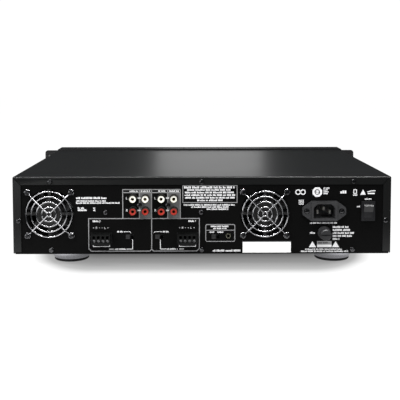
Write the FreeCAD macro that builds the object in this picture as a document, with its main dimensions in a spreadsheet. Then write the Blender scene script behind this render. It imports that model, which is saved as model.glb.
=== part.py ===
import FreeCAD, Part
import os
import re

import Sketcher
from FreeCAD import Placement, Rotation, Vector

# Two-zone rack-mountable power amplifier.
# Frame: origin on the floor under the middle of the overall box, +Z up, front towards -Y,
# rear connectors towards +Y. Left and right are as seen from the front, so left is -X.
# Driving dimensions in millimetres and degrees. The rest is worked out from them.
DIMENSIONS = {
    # enclosure
    "case_w": 432.6,
    "base_z": 12.0,
    "cover_top": 101.3,
    "lip_face_y": 155.5,
    "front_y": -168.5,
    "sheet": 1.2,
    "bend_r": 2.0,
    "lip_w": 9.4,
    "cover_front_y": -150.0,
    "cover_gap": 0.3,
    "panel_gap": 1.0,
    "cover_lift": 1.0,
    "pan_wall": 17.0,
    "pan_rear_wall": 11.0,
    "pan_front_wall": 83.0,
    "vent_w": 3.0,
    "vent_len": 26.0,
    "vent_pitch": 8.0,
    # front bezel and status lenses
    "bezel_w": 435.0,
    "bezel_proud": 2.0,
    "bezel_depth": 29.0,
    "bezel_wall": 4.0,
    "bezel_r": 3.0,
    "lens_r": 1.6,
    "lens_pitch": 14.0,
    "lens_x": -150.0,
    "lens_z": 57.0,
    # rack ears, on the 19 inch rack hole pattern
    "ear_span": 482.6,
    "ear_t": 3.0,
    "ear_low": 19.15,
    "ear_top": 98.15,
    "ear_corner_r": 4.0,
    "slot_span_x": 465.1,
    "slot_span_z": 60.325,
    "slot_drop": 10.9,
    "slot_len": 8.4,
    "slot_high": 6.4,
    # feet
    "foot_r": 22.5,
    "foot_x": 154.4,
    "foot_rear_y": 122.5,
    "foot_front_y": -112.5,
    "pad_r": 20.2,
    "pad_hole_r": 6.5,
    "pad_t": 3.2,
    # screws
    "screw_r": 1.5,
    "screw_head_r": 2.9,
    "screw_head_t": 2.0,
    "screw_len": 7.0,
    # fans
    "fan_left_x": -71.8,
    "fan_right_x": 174.9,
    "fan_z": 58.3,
    "fan_size": 60.0,
    "fan_depth": 25.0,
    "fan_bore_r": 28.5,
    "fan_hole_pitch": 50.0,
    "fan_hub_r": 15.0,
    "fan_shaft_r": 1.5,
    "fan_tip_r": 26.8,
    "fan_screw_r": 2.0,
    "guard_wire_r": 0.75,
    # phono sockets
    "zone_1_socket_x": 39.65,
    "zone_2_socket_x": 72.0,
    "socket_z": 69.35,
    "socket_pitch": 14.2,
    "sleeve_r": 4.15,
    "sleeve_t": 0.3,
    "sleeve_step": 0.45,
    "collar_out": 0.6,
    "socket_in": 9.0,
    "socket_edge": 6.4,
    "contact_bore_r": 1.6,
    "sleeve_out": 9.0,
    # speaker terminals
    "zone_1_terminal_x": 17.1,
    "zone_2_terminal_x": 115.5,
    "terminal_z": 30.6,
    "terminal_pitch": 5.08,
    "plug_w": 21.6,
    "plug_high": 10.0,
    "plug_out": 8.5,
    "fit_gap": 0.2,
    "header_side": 1.4,
    "header_rim": 1.2,
    "header_deep": 11.0,
    "clamp_well_r": 1.65,
    "clamp_drop": 2.3,
    "pin_r": 0.6,
    # slide switches
    "zone_1_switch_x": 49.3,
    "zone_2_switch_x": 83.0,
    "trigger_switch_x": -15.1,
    "switch_z": 32.1,
    "switch_window_w": 9.4,
    "switch_window_high": 5.3,
    "knob_travel": 4.2,
    # trigger jack
    "jack_x": -29.7,
    "jack_z": 32.9,
    "jack_r": 2.95,
    "jack_bore_r": 1.8,
    # mains inlet
    "inlet_x": -139.3,
    "inlet_z": 61.4,
    "inlet_w": 50.0,
    "inlet_high": 23.2,
    "inlet_hole_pitch": 40.0,
    "inlet_flange_t": 3.0,
    "inlet_deep": 17.0,
    "inlet_mouth_w": 24.8,
    "inlet_mouth_high": 16.6,
    "inlet_mouth_cut": 4.2,
    # fuse holder
    "fuse_x": -139.9,
    "fuse_z": 36.0,
    "fuse_flange_r": 7.5,
    "fuse_cap_r": 6.2,
    "fuse_out": 14.2,
    # power rocker
    "rocker_x": -189.9,
    "rocker_z": 61.2,
    "rocker_bezel_w": 15.5,
    "rocker_bezel_high": 22.7,
    "rocker_r": 9.3,
    "rocker_pivot_in": 2.1,
    "rocker_swing": 24.0,
    # serial label
    "label_low_x": -101.6,
    "label_high_x": -46.3,
    "label_low_z": 13.2,
    "label_high_z": 25.5,
    "label_t": 0.15,
    # inside
    "board_y": 136.0,
    "board_t": 1.6,
    "amp_board_z": 23.2,
    "heatsink_high": 50.0,
    "heatsink_w": 56.0,
    "heatsink_rear_y": 124.0,
    "heatsink_len": 145.0,
    "toroid_r": 58.0,
    "toroid_hole_r": 18.0,
    "toroid_high": 60.0,
    "toroid_x": -60.0,
    "toroid_y": -95.0,
    "capacitor_r": 17.5,
    "capacitor_high": 45.0,
}
AXES = {
    "+x": Vector(1, 0, 0),
    "-x": Vector(-1, 0, 0),
    "+y": Vector(0, 1, 0),
    "-y": Vector(0, -1, 0),
    "+z": Vector(0, 0, 1),
    "-z": Vector(0, 0, -1),
}

# Formulas that several sub-parts share.
PANEL_Y = "(lip_face_y - sheet)"
PANEL_BACK_Y = "(lip_face_y - 2*sheet)"
PAN_HALF_W = "(case_w/2 - sheet - cover_gap)"
TRAY_TOP_Z = "(base_z + sheet)"

doc = FreeCAD.newDocument("power_amplifier")
nodes = []


def make_sheet():
    """Write the driving dimensions to the spreadsheet, one named cell each."""
    sheet = doc.addObject("Spreadsheet::Sheet", "dims")
    for row, (name, size) in enumerate(DIMENSIONS.items(), start=1):
        sheet.set(f"A{row}", name)
        sheet.set(f"B{row}", str(size))
        sheet.setAlias(f"B{row}", name)
    doc.recompute()


# ---------------------------------------------------------------- helpers

def formula(text):
    """Turn a formula over the sheet's words into an expression over its cells."""
    def cell(match):
        word = match.group()
        return f"dims.{word}" if word in DIMENSIONS else word
    return re.sub(r"[a-z][a-z_0-9]*", cell, str(text))


def bind(thing, **formulas):
    for prop, text in formulas.items():
        thing.setExpression(prop, formula(text))


def place(thing, at, along="+z"):
    """Put a piece's own origin at a point, with its own +Z along an axis."""
    thing.Placement = Placement(Vector(), Rotation(AXES["+z"], AXES[along]))
    for axis, text in zip("xyz", at):
        thing.setExpression(f"Placement.Base.{axis}", formula(text))
    return thing


def block(name, low, size):
    box = doc.addObject("Part::Box", name)
    bind(box, Length=size[0], Width=size[1], Height=size[2])
    return place(box, low)


def rod(name, start, radius, length, along="+y"):
    cylinder = doc.addObject("Part::Cylinder", name)
    bind(cylinder, Radius=radius, Height=length)
    return place(cylinder, start, along)


def ball(name, at, radius):
    sphere = doc.addObject("Part::Sphere", name)
    bind(sphere, Radius=radius)
    return place(sphere, at)


def ring(name, at, radius, wire_r, along="+y"):
    torus = doc.addObject("Part::Torus", name)
    bind(torus, Radius1=radius, Radius2=wire_r)
    return place(torus, at, along)


def fuse(name, pieces):
    joined = doc.addObject("Part::MultiFuse", name)
    joined.Shapes = pieces
    return joined


def cut(name, base, tools):
    """Take tools away from a base. Tools may overlap one another."""
    tool = tools[0]
    if len(tools) > 1:
        tool = fuse(name + "_tools", tools)
    result = doc.addObject("Part::Cut", name)
    result.Base = base
    result.Tool = tool
    return result


def group(name, pieces):
    """Several separate solids of one kind in one node."""
    solids = doc.addObject("Part::Compound", name)
    solids.Links = pieces
    return solids


def copy_of(master, name, at, along="+z"):
    link = doc.addObject("App::Link", name)
    link.LinkedObject = master
    return place(link, at, along)


def node(name, thing):
    thing.Label = name
    nodes.append(thing)
    return thing


def body(name):
    return doc.addObject("PartDesign::Body", name)


def solid_box(owner, name, low, size, cutting=False):
    """An additive or a cutting box feature of a body."""
    kind = "Subtractive" if cutting else "Additive"
    box = owner.newObject(f"PartDesign::{kind}Box", name)
    bind(box, Length=size[0], Width=size[1], Height=size[2])
    place(box, low)
    doc.recompute()
    return box


def solid_rod(owner, name, start, radius, length, along="+y", cutting=False):
    """An additive or a cutting cylinder feature of a body."""
    kind = "Subtractive" if cutting else "Additive"
    cylinder = owner.newObject(f"PartDesign::{kind}Cylinder", name)
    bind(cylinder, Radius=radius, Height=length)
    place(cylinder, start, along)
    doc.recompute()
    return cylinder


def sketch_on(owner, name, role, offset, points):
    """A closed outline of straight edges whose corners are bound to formulas."""
    sketch = owner.newObject("Sketcher::SketchObject", name)
    plane = next(item for item in owner.Origin.OriginFeatures if item.Role == role)
    sketch.AttachmentSupport = [(plane, "")]
    sketch.MapMode = "FlatFace"
    sketch.setExpression("AttachmentOffset.Base.z", formula(offset))
    count = len(points)
    start = [Vector(*point, 0) for point in rough_circle(count)]
    for i in range(count):
        sketch.addGeometry(Part.LineSegment(start[i], start[(i + 1) % count]), False)
    for i in range(count):
        sketch.addConstraint(Sketcher.Constraint("Coincident", i, 2, (i + 1) % count, 1))
    for i, point in enumerate(points):
        for kind, value, text in zip(("DistanceX", "DistanceY"), start[i], point):
            index = sketch.addConstraint(Sketcher.Constraint(kind, -1, 1, i, 1, value))
            sketch.renameConstraint(index, f"{kind}_{i}")
            sketch.setExpression(f"Constraints.{kind}_{i}", formula(text))
    doc.recompute()
    return sketch


def rough_circle(count):
    """Corner guesses that the sketch's constraints then move into place."""
    radius = Vector(20, 0, 0)
    turns = [Rotation(AXES["+z"], 360 * i / count + 7) for i in range(count)]
    return [(turn.multVec(radius).x, turn.multVec(radius).y) for turn in turns]


def pad(owner, name, sketch, length):
    feature = owner.newObject("PartDesign::Pad", name)
    feature.Profile = sketch
    bind(feature, Length=length)
    doc.recompute()
    return feature


def turned(name, profile, at, along="+z"):
    """A body of revolution: profile points are (radius, height) on its own axis."""
    owner = body(name)
    sketch = sketch_on(owner, name + "_profile", "XZ_Plane", 0, profile)
    feature = owner.newObject("PartDesign::Revolution", name + "_turned")
    feature.Profile = sketch
    feature.ReferenceAxis = (sketch, ["V_Axis"])
    feature.Angle = 360
    sketch.Visibility = False
    place(owner, at, along)
    doc.recompute()
    return owner


def fillet(owner, name, radius, chosen):
    """Round the edges of a body's tip that pass the test."""
    base = owner.Tip
    edges = [f"Edge{i}" for i, edge in enumerate(base.Shape.Edges, start=1) if chosen(edge)]
    if not edges:
        raise RuntimeError(f"{name} finds no edge to round")
    feature = owner.newObject("PartDesign::Fillet", name)
    feature.Base = (base, edges)
    bind(feature, Radius=radius)
    doc.recompute()
    return feature


def hollow(owner, name, thickness, open_faces):
    """Turn a solid body into sheet metal, open at the chosen faces."""
    base = owner.Tip
    faces = [f"Face{i}" for i, face in enumerate(base.Shape.Faces, start=1) if open_faces(face)]
    feature = owner.newObject("PartDesign::Thickness", name)
    feature.Base = (base, faces)
    feature.Reversed = True
    bind(feature, Value=thickness)
    doc.recompute()
    return feature


def row_of(owner, name, feature, direction, span, count):
    """Repeat a feature of a body in a straight row."""
    pattern = owner.newObject("PartDesign::LinearPattern", name)
    pattern.Originals = [feature]
    axis = next(item for item in owner.Origin.OriginFeatures if item.Role == direction)
    pattern.Direction = (axis, [""])
    bind(pattern, Length=span)
    pattern.Occurrences = count
    owner.Tip = pattern
    doc.recompute()
    return pattern


def runs_along(edge, axis):
    """True for a straight edge parallel to an axis."""
    if not isinstance(edge.Curve, Part.Line):
        return False
    return abs(abs(edge.Curve.Direction.dot(AXES[axis])) - 1) < 1e-6


def middle(shape):
    return shape.BoundBox.Center


# ---------------------------------------------------------------- screws

def screw_master(name, shank_r, head_r, head_t, length):
    """A pan-head screw on its own axis: head above its seat at z 0, cross recess in the top."""
    profile = [
        (0, f"-({length})"),
        (shank_r, f"-({length})"),
        (shank_r, 0),
        (head_r, 0),
        (head_r, f"({head_t})*0.45"),
        (f"({head_r})*0.8", f"({head_t})*0.85"),
        (f"({head_r})*0.45", head_t),
        (0, head_t),
    ]
    screw = turned(name, profile, (0, 0, 0))
    depth = f"({head_t})*0.6"
    long = f"({head_r})*1.2"
    thin = f"({head_r})*0.26"
    for turn, (wide, deep) in enumerate(((long, thin), (thin, long))):
        low = (f"-({wide})/2", f"-({deep})/2", f"({head_t}) - {depth}")
        solid_box(screw, f"{name}_recess_{turn}", low, (wide, deep, depth + " + 1"), cutting=True)
    return screw


def screws(name, master, seats):
    """One node of equal screws: each seat is (point, direction the head faces)."""
    copies = []
    for i, (at, along) in enumerate(seats):
        copies.append(copy_of(master, f"{name}_{i}", at, along))
    return group(name, copies)


# Seats of the black case screws: cover lips, rear panel bottom and middle, socket blocks.
LIP_Z = "(cover_top - 5.9)"
LIP_SEATS = [
    ((x, "lip_face_y", z), "+y")
    for x, z in (
        ("173.5", LIP_Z),
        ("0.9", LIP_Z),
        ("-172.5", LIP_Z),
        ("case_w/2 - 6.6", "50.6"),
        ("-case_w/2 + 6.6", "50.6"),
    )
]
PANEL_LOW_SEATS = [((x, PANEL_Y, "base_z + 4.6"), "+y") for x in ("173.0", "0.6", "-172.5")]
PANEL_MID_SEATS = [((x, PANEL_Y, "60"), "+y") for x in ("110.5", "1.5")]
SOCKET_SEATS = [((x, PANEL_Y, "socket_z - 0.9"), "+y") for x in ("zone_1_socket_x", "zone_2_socket_x")]
SIDE_SEATS = [
    ((f"{sign}case_w/2", y, "base_z + 9"), f"{sign or '+'}x")
    for sign in ("", "-")
    for y in ("-110", "10", "130")
]


def seat_holes(name, seats, radius, depth="9"):
    """Straight holes behind screw seats."""
    holes = []
    for i, (at, along) in enumerate(seats):
        back = ("-" if along[0] == "+" else "+") + along[1]
        holes.append(rod(f"{name}_{i}", at, radius, depth, back))
    return holes


# ---------------------------------------------------------------- enclosure

def make_pan():
    """Bottom pan: floor with folded walls, foot holes and floor vents."""
    pan = body("folded_pan")
    low = (f"-{PAN_HALF_W}", "front_y + bezel_wall", "base_z")
    length = f"{PANEL_BACK_Y} - front_y - bezel_wall"
    solid_box(pan, "pan_block", low, (f"2*{PAN_HALF_W}", length, "pan_wall"))
    bottom = DIMENSIONS["base_z"]
    fillet(pan, "pan_bends", "bend_r", lambda e: abs(middle(e).z - bottom) < 1e-6)
    hollow(pan, "pan_sheet", "sheet", lambda f: middle(f).z > bottom + 16.9)
    rear = (f"-{PAN_HALF_W} + sheet", f"{PANEL_BACK_Y} - sheet - 1", "base_z + pan_rear_wall")
    solid_box(pan, "pan_rear_step", rear, (f"2*{PAN_HALF_W} - 2*sheet", "5", "20"), cutting=True)
    tall = (f"-{PAN_HALF_W} + 12", "front_y + bezel_wall", "base_z + pan_wall")
    solid_box(pan, "pan_front_wall", tall, (f"2*{PAN_HALF_W} - 24", "sheet", "pan_front_wall - pan_wall"))
    for side, centre in (("left", "fan_left_x"), ("right", "fan_right_x - 5")):
        low = (f"{centre} - 3*vent_pitch - vent_w/2", "-30", "base_z - 1")
        slot = solid_box(pan, f"floor_vent_{side}", low, ("vent_w", "2*vent_len", "4"), cutting=True)
        row_of(pan, f"floor_vents_{side}", slot, "X_Axis", "6*vent_pitch", 7)
    holes = [
        rod(f"foot_hole_{i}", (x, y, "base_z - 1"), "screw_r + 0.6", "4", "+z")
        for i, (x, y) in enumerate(FOOT_PLACES.values())
    ]
    holes += seat_holes("pan_rear_hole", PANEL_LOW_SEATS, "screw_r")
    holes += seat_holes("pan_side_hole", SIDE_SEATS, "screw_r")
    return node("chassis_base", cut("chassis_base_drilled", pan, holes))


FOOT_PLACES = {
    f"foot_{end}_{side}": (f"{sign}foot_x", f"foot_{end}_y")
    for end in ("front", "rear")
    for side, sign in (("left", "-"), ("right", ""))
}


def make_cover():
    """Top cover: top, sides and rear lips folded from one sheet, with mitred lip corners."""
    cover = body("folded_cover")
    low_z = "base_z + cover_lift"
    low = ("-case_w/2", "cover_front_y", low_z)
    size = ("case_w", "lip_face_y - cover_front_y", f"cover_top - ({low_z})")
    solid_box(cover, "cover_block", low, size)
    half = DIMENSIONS["case_w"] / 2
    top = DIMENSIONS["cover_top"]
    rear = DIMENSIONS["lip_face_y"]

    def is_bend(edge):
        at = middle(edge)
        on_side = abs(abs(at.x) - half) < 1e-6
        on_top = abs(at.z - top) < 1e-6
        on_rear = abs(at.y - rear) < 1e-6
        return (on_side and on_top) or (on_top and on_rear) or (on_side and on_rear)

    fillet(cover, "cover_bends", "bend_r", is_bend)
    inner = ("-case_w/2 + sheet", "cover_front_y - 1", f"{low_z} - 1")
    long = "lip_face_y - sheet - cover_front_y + 1"
    size = ("case_w - 2*sheet", long, f"cover_top - sheet - ({low_z}) + 1")
    solid_box(cover, "cover_inside", inner, size, cutting=True)
    inset = DIMENSIONS["sheet"]
    half -= inset
    top -= inset
    rear -= inset
    fillet(cover, "cover_inner_bends", "bend_r - sheet", is_bend)
    window = ("-case_w/2 + lip_w", "lip_face_y - 3", f"{low_z} - 1")
    size = ("case_w - 2*lip_w", "6", f"cover_top - lip_w - ({low_z}) + 1")
    solid_box(cover, "cover_window", window, size, cutting=True)
    for side, low_x in (("left", "-case_w/2 + sheet + 0.6"), ("right", "case_w/2 - lip_w")):
        step = (low_x, "lip_face_y - sheet - 0.5", f"{low_z} - 1")
        size = ("lip_w - sheet - 0.6", "3", "2.4")
        solid_box(cover, f"lip_step_{side}", step, size, cutting=True)
    for side, sign in (("left", "-"), ("right", "")):
        low_x = f"{sign}case_w/2 - 3"
        for level, z in (("low", "30"), ("high", "62")):
            low = (low_x, "-120", z)
            slot = solid_box(cover, f"side_vent_{side}_{level}", low, ("6", "vent_w", "vent_len"), True)
            row_of(cover, f"side_vents_{side}_{level}", slot, "Y_Axis", "20*vent_pitch", 21)
    tools = seat_holes("lip_hole", LIP_SEATS, "screw_r", "3")
    tools += seat_holes("cover_side_hole", SIDE_SEATS, "screw_r", "4")
    tools += [mitre_slit(side) for side in ("left", "right")]
    return node("top_cover", cut("top_cover_drilled", cover, tools))


def mitre_slit(side):
    """The thin 45 degree gap where a side lip meets the top lip."""
    sign = -1 if side == "left" else 1
    slit = doc.addObject("Part::Box", f"mitre_slit_{side}")
    bind(slit, Length="lip_w*1.5", Width="4", Height="0.5")
    slit.Placement = Placement(Vector(), Rotation(AXES["+y"], 45 if sign < 0 else 135))
    corner = f"{sign}*(case_w/2 - bend_r*0.6)"
    slit.setExpression("Placement.Base.x", formula(corner))
    slit.setExpression("Placement.Base.y", formula("lip_face_y - sheet - 0.5"))
    slit.setExpression("Placement.Base.z", formula("cover_top - bend_r*0.6"))
    return slit


def make_rear_panel():
    """Rear panel: one flat sheet with every connector's opening."""
    low = ("-case_w/2 + sheet + panel_gap", PANEL_BACK_Y, "base_z")
    size = ("case_w - 2*sheet - 2*panel_gap", "sheet", "cover_top - base_z - sheet - panel_gap")
    panel = block("rear_panel_sheet", low, size)
    behind = f"{PANEL_BACK_Y} - 1"
    tools = []
    for side, x in FAN_CENTRES.items():
        tools.append(rod(f"fan_opening_{side}", (x, behind, "fan_z"), "fan_bore_r - 0.3", "4"))
        for i, (dx, dz) in enumerate(FAN_CORNERS):
            at = (f"{x} + {dx}", behind, f"fan_z + {dz}")
            tools.append(rod(f"fan_panel_hole_{side}_{i}", at, "fan_screw_r + 0.1", "4"))
    for name, (x, z) in SOCKET_PLACES.items():
        tools.append(rod(f"panel_{name}", (x, behind, z), "sleeve_r + 0.7", "4"))
    for zone in ZONES:
        x = f"zone_{zone}_terminal_x"
        low = (f"{x} - plug_w/2 - header_side", behind, "terminal_z - plug_high/2 - header_rim")
        size = ("plug_w + 2*header_side", "4", "plug_high + 2*header_rim")
        tools.append(block(f"terminal_opening_{zone}", low, size))
    for name in SWITCHES:
        low = (f"{name}_x - switch_window_w/2", behind, "switch_z - switch_window_high/2")
        tools.append(block(f"{name}_window", low, ("switch_window_w", "4", "switch_window_high")))
    tools.append(rod("jack_opening", ("jack_x", behind, "jack_z"), "jack_r", "4"))
    low = ("inlet_x - 13.7", behind, "inlet_z - 10.1")
    tools.append(block("inlet_opening", low, ("27.4", "4", "20.2")))
    for sign in ("-", "+"):
        at = (f"inlet_x {sign} inlet_hole_pitch/2", behind, "inlet_z")
        tools.append(rod(f"inlet_hole_{'low' if sign == '-' else 'high'}", at, "screw_r", "4"))
    tools.append(rod("fuse_opening", ("fuse_x", behind, "fuse_z"), "fuse_cap_r + 0.3", "4"))
    low = ("rocker_x - 6.6", behind, "rocker_z - 10.5")
    tools.append(block("rocker_opening", low, ("13.2", "4", "21")))
    seats = LIP_SEATS + PANEL_LOW_SEATS + PANEL_MID_SEATS + SOCKET_SEATS
    tools += seat_holes("panel_hole", seats, "screw_r")
    return node("rear_panel", cut("rear_panel_drilled", panel, tools))


def make_bezel():
    """Front bezel: thick front wall with returns over the case, and lens holes."""
    bezel = body("bezel_shell")
    low = ("-bezel_w/2", "front_y", "base_z")
    solid_box(bezel, "bezel_block", low, ("bezel_w", "bezel_depth", "cover_top + bezel_proud - base_z"))
    front = DIMENSIONS["front_y"]
    top = DIMENSIONS["cover_top"] + DIMENSIONS["bezel_proud"]
    fillet(
        bezel, "bezel_edges", "bezel_r",
        lambda e: (runs_along(e, "+z") and middle(e).y < front + 1e-6)
        or (runs_along(e, "+x") and middle(e).y < front + 1e-6 and middle(e).z > top - 1e-6)
        or (runs_along(e, "+y") and middle(e).z > top - 1e-6),
    )
    inner = ("-case_w/2", "front_y + bezel_wall", "base_z - 1")
    size = ("case_w", "bezel_depth", "cover_top - base_z + 1")
    solid_box(bezel, "bezel_inside", inner, size, cutting=True)
    at = ("lens_x", "front_y - 1", "lens_z")
    hole = solid_rod(bezel, "lens_hole", at, "lens_r", "8", "+y", cutting=True)
    row_of(bezel, "lens_holes", hole, "X_Axis", "2*lens_pitch", 3)
    tools = []
    for side, seats in EAR_SEATS.items():
        tools += seat_holes(f"bezel_ear_hole_{side}", seats, "screw_r", "6")
    return node("front_bezel", cut("front_bezel_drilled", bezel, tools))


EAR_SCREW_Z = ("ear_low + 14", "ear_low + 39.5", "ear_low + 65")
EAR_SEATS = {
    side: [((f"{sign}(bezel_w/2 + ear_t)", "front_y + 13", z), f"{sign or '+'}x") for z in EAR_SCREW_Z]
    for side, sign in (("left", "-"), ("right", ""))
}


def make_ear(side):
    """Rack ear: a bent bracket, its flange slotted for the rack, its leg screwed to the bezel."""
    sign = "-" if side == "left" else ""
    ear = body(f"bent_ear_{side}")
    high = "ear_top - ear_low"
    inner = "bezel_w/2"
    outer = "ear_span/2"
    flange_low = (f"-{outer}" if sign else inner, "front_y", "ear_low")
    solid_box(ear, f"ear_flange_{side}", flange_low, (f"{outer} - {inner}", "ear_t", high))
    outermost = DIMENSIONS["ear_span"] / 2
    fillet(
        ear, f"ear_corners_{side}", "ear_corner_r",
        lambda e: runs_along(e, "+y") and abs(abs(middle(e).x) - outermost) < 1e-6,
    )
    leg_low = (f"-{inner} - ear_t" if sign else inner, "front_y", "ear_low")
    solid_box(ear, f"ear_leg_{side}", leg_low, ("ear_t", "bezel_depth - 1", high))
    for level, z in (("top", "ear_top - slot_drop"), ("low", "ear_top - slot_drop - slot_span_z")):
        centre = f"{sign}slot_span_x/2"
        run = "slot_len - slot_high"
        low = (f"{centre} - ({run})/2", "front_y - 1", f"{z} - slot_high/2")
        solid_box(ear, f"ear_slot_{side}_{level}", low, (run, "ear_t + 2", "slot_high"), cutting=True)
        for end, shift in (("in", "-"), ("out", "+")):
            at = (f"{centre} {shift} ({run})/2", "front_y - 1", z)
            name = f"ear_slot_{side}_{level}_{end}"
            solid_rod(ear, name, at, "slot_high/2", "ear_t + 2", "+y", cutting=True)
    holes = seat_holes(f"ear_hole_{side}", EAR_SEATS[side], "screw_r", "5")
    return node(f"rack_ear_{side}", cut(f"ear_drilled_{side}", ear, holes))


def make_foot(name):
    """Foot: a bowl-shaped shell with a screw pocket, its rubber pad and its screw."""
    x, y = FOOT_PLACES[name]
    profile = [
        ("screw_r + 0.6", "base_z"),
        ("foot_r", "base_z"),
        ("foot_r", "base_z*0.6"),
        ("foot_r*0.92", "pad_t"),
        ("6", "pad_t"),
        ("6", "base_z*0.55"),
        ("screw_r + 0.6", "base_z*0.55"),
    ]
    foot = turned(name, profile, (x, y, 0))
    shoulder = DIMENSIONS["foot_r"]
    level = DIMENSIONS["base_z"] * 0.6
    fillet(foot, f"{name}_bowl", "base_z*0.6", lambda e: is_circle(e, shoulder, level))
    return node(name, foot)


def is_circle(edge, radius, level):
    """True for a circle of a radius at a height on a turned body's own axis."""
    if not isinstance(edge.Curve, Part.Circle):
        return False
    return abs(edge.Curve.Radius - radius) < 1e-4 and abs(edge.Curve.Center.z - level) < 1e-4


def make_foot_fittings():
    """Rubber pads and the screws that hold the feet."""
    profile = [
        ("pad_hole_r", 0),
        ("pad_r - pad_t*0.25", 0),
        ("pad_r", "pad_t*0.25"),
        ("pad_r", "pad_t"),
        ("pad_hole_r", "pad_t"),
    ]
    pad_master = turned("foot_pad_master", profile, (0, 0, 0))
    pads = [copy_of(pad_master, f"{name}_pad", (x, y, "0")) for name, (x, y) in FOOT_PLACES.items()]
    node("foot_pads", group("foot_pads", pads))
    master = screw_master("foot_screw_master", "screw_r + 0.5", "4", "2.4", "base_z*0.45 + 5")
    seats = [((x, y, "base_z*0.55"), "-z") for x, y in FOOT_PLACES.values()]
    return node("foot_screws", screws("foot_screw", master, seats))


# ---------------------------------------------------------------- fans

FAN_CENTRES = {"left": "fan_left_x", "right": "fan_right_x"}
FAN_CORNERS = [
    (f"{a}fan_hole_pitch/2", f"{b}fan_hole_pitch/2") for a in ("-", "") for b in ("-", "")
]


def make_fan_frame(side):
    """Square fan frame with a round bore, four struts and a motor hub at the outlet."""
    name = f"fan_frame_{side}"
    frame = body(name)
    half = "fan_size/2"
    low = (f"-{half}", "-fan_depth", f"-{half}")
    solid_box(frame, f"{name}_block", low, ("fan_size", "fan_depth", "fan_size"))
    fillet(frame, f"{name}_corners", 4, lambda e: runs_along(e, "+y"))
    solid_rod(frame, f"{name}_bore", (0, "-fan_depth - 1", 0), "fan_bore_r", "fan_depth + 2", "+y", True)
    for i, (dx, dz) in enumerate((("-fan_bore_r - 1", "-1.5"), ("-1.5", "-fan_bore_r - 1"))):
        long = "2*fan_bore_r + 2"
        size = (long, "2.5", "3") if i == 0 else ("3", "2.5", long)
        solid_box(frame, f"{name}_strut_{i}", (dx, "-2.5", dz), size)
    solid_rod(frame, f"{name}_motor", (0, "-4", 0), "fan_hub_r - 1", "4")
    solid_rod(frame, f"{name}_bearing", (0, "-5", 0), "fan_shaft_r + 0.05", "4", "+y", True)
    for i, (dx, dz) in enumerate(FAN_CORNERS):
        start = (dx, "-fan_depth - 1", dz)
        solid_rod(frame, f"{name}_hole_{i}", start, "fan_screw_r", "fan_depth + 2", "+y", True)
    place(frame, (FAN_CENTRES[side], PANEL_BACK_Y, "fan_z"))
    return node(name, frame)


def make_impeller(side):
    """Fan impeller: a hub with a shaft and seven twisted blades."""
    name = f"fan_impeller_{side}"
    wheel = body(name)
    solid_rod(wheel, f"{name}_hub", (0, "-fan_depth + 2", 0), "fan_hub_r", "fan_depth - 7")
    front = DIMENSIONS["fan_depth"] - 2
    fillet(wheel, f"{name}_nose", 2, lambda e: abs(middle(e).y + front) < 1e-6 and e.Length > 20)
    solid_rod(wheel, f"{name}_shaft", (0, "-6", 0), "fan_shaft_r", "4.5")
    mid = "(-fan_depth/2 - 1.5)"
    root = blade_section(wheel, f"{name}_root", "fan_hub_r - 2", mid, "5.5", "7.0", "1.0")
    tip = blade_section(wheel, f"{name}_tip", "fan_tip_r", mid, "6.5", "4.6", "0.8")
    blade = wheel.newObject("PartDesign::AdditiveLoft", f"{name}_blade")
    blade.Profile = root
    blade.Sections = [tip]
    blade.Ruled = True
    doc.recompute()
    blades = wheel.newObject("PartDesign::PolarPattern", f"{name}_blades")
    blades.Originals = [blade]
    axis = next(item for item in wheel.Origin.OriginFeatures if item.Role == "Y_Axis")
    blades.Axis = (axis, [""])
    blades.Angle = 360
    blades.Occurrences = 7
    wheel.Tip = blades
    doc.recompute()
    place(wheel, (FAN_CENTRES[side], PANEL_BACK_Y, "fan_z"))
    return node(name, wheel)


def blade_section(owner, name, radius, mid, half_y, half_z, half_t):
    """A slanted blade section on a plane across the blade, at a radius from the axis."""
    points = [
        (f"{mid} - {half_y}", f"-{half_z} - {half_t}"),
        (f"{mid} + {half_y}", f"{half_z} - {half_t}"),
        (f"{mid} + {half_y}", f"{half_z} + {half_t}"),
        (f"{mid} - {half_y}", f"-{half_z} + {half_t}"),
    ]
    return sketch_on(owner, name, "YZ_Plane", radius, points)


GUARD_RING_RADII = ("2.6", "8.2", "14.2", "20.2", "26.2")
GUARD_LIFT = 1.3
EYELET_R = 3.0
BEND_SHARE = 0.76
LANDING_SHARE = 0.85


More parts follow.
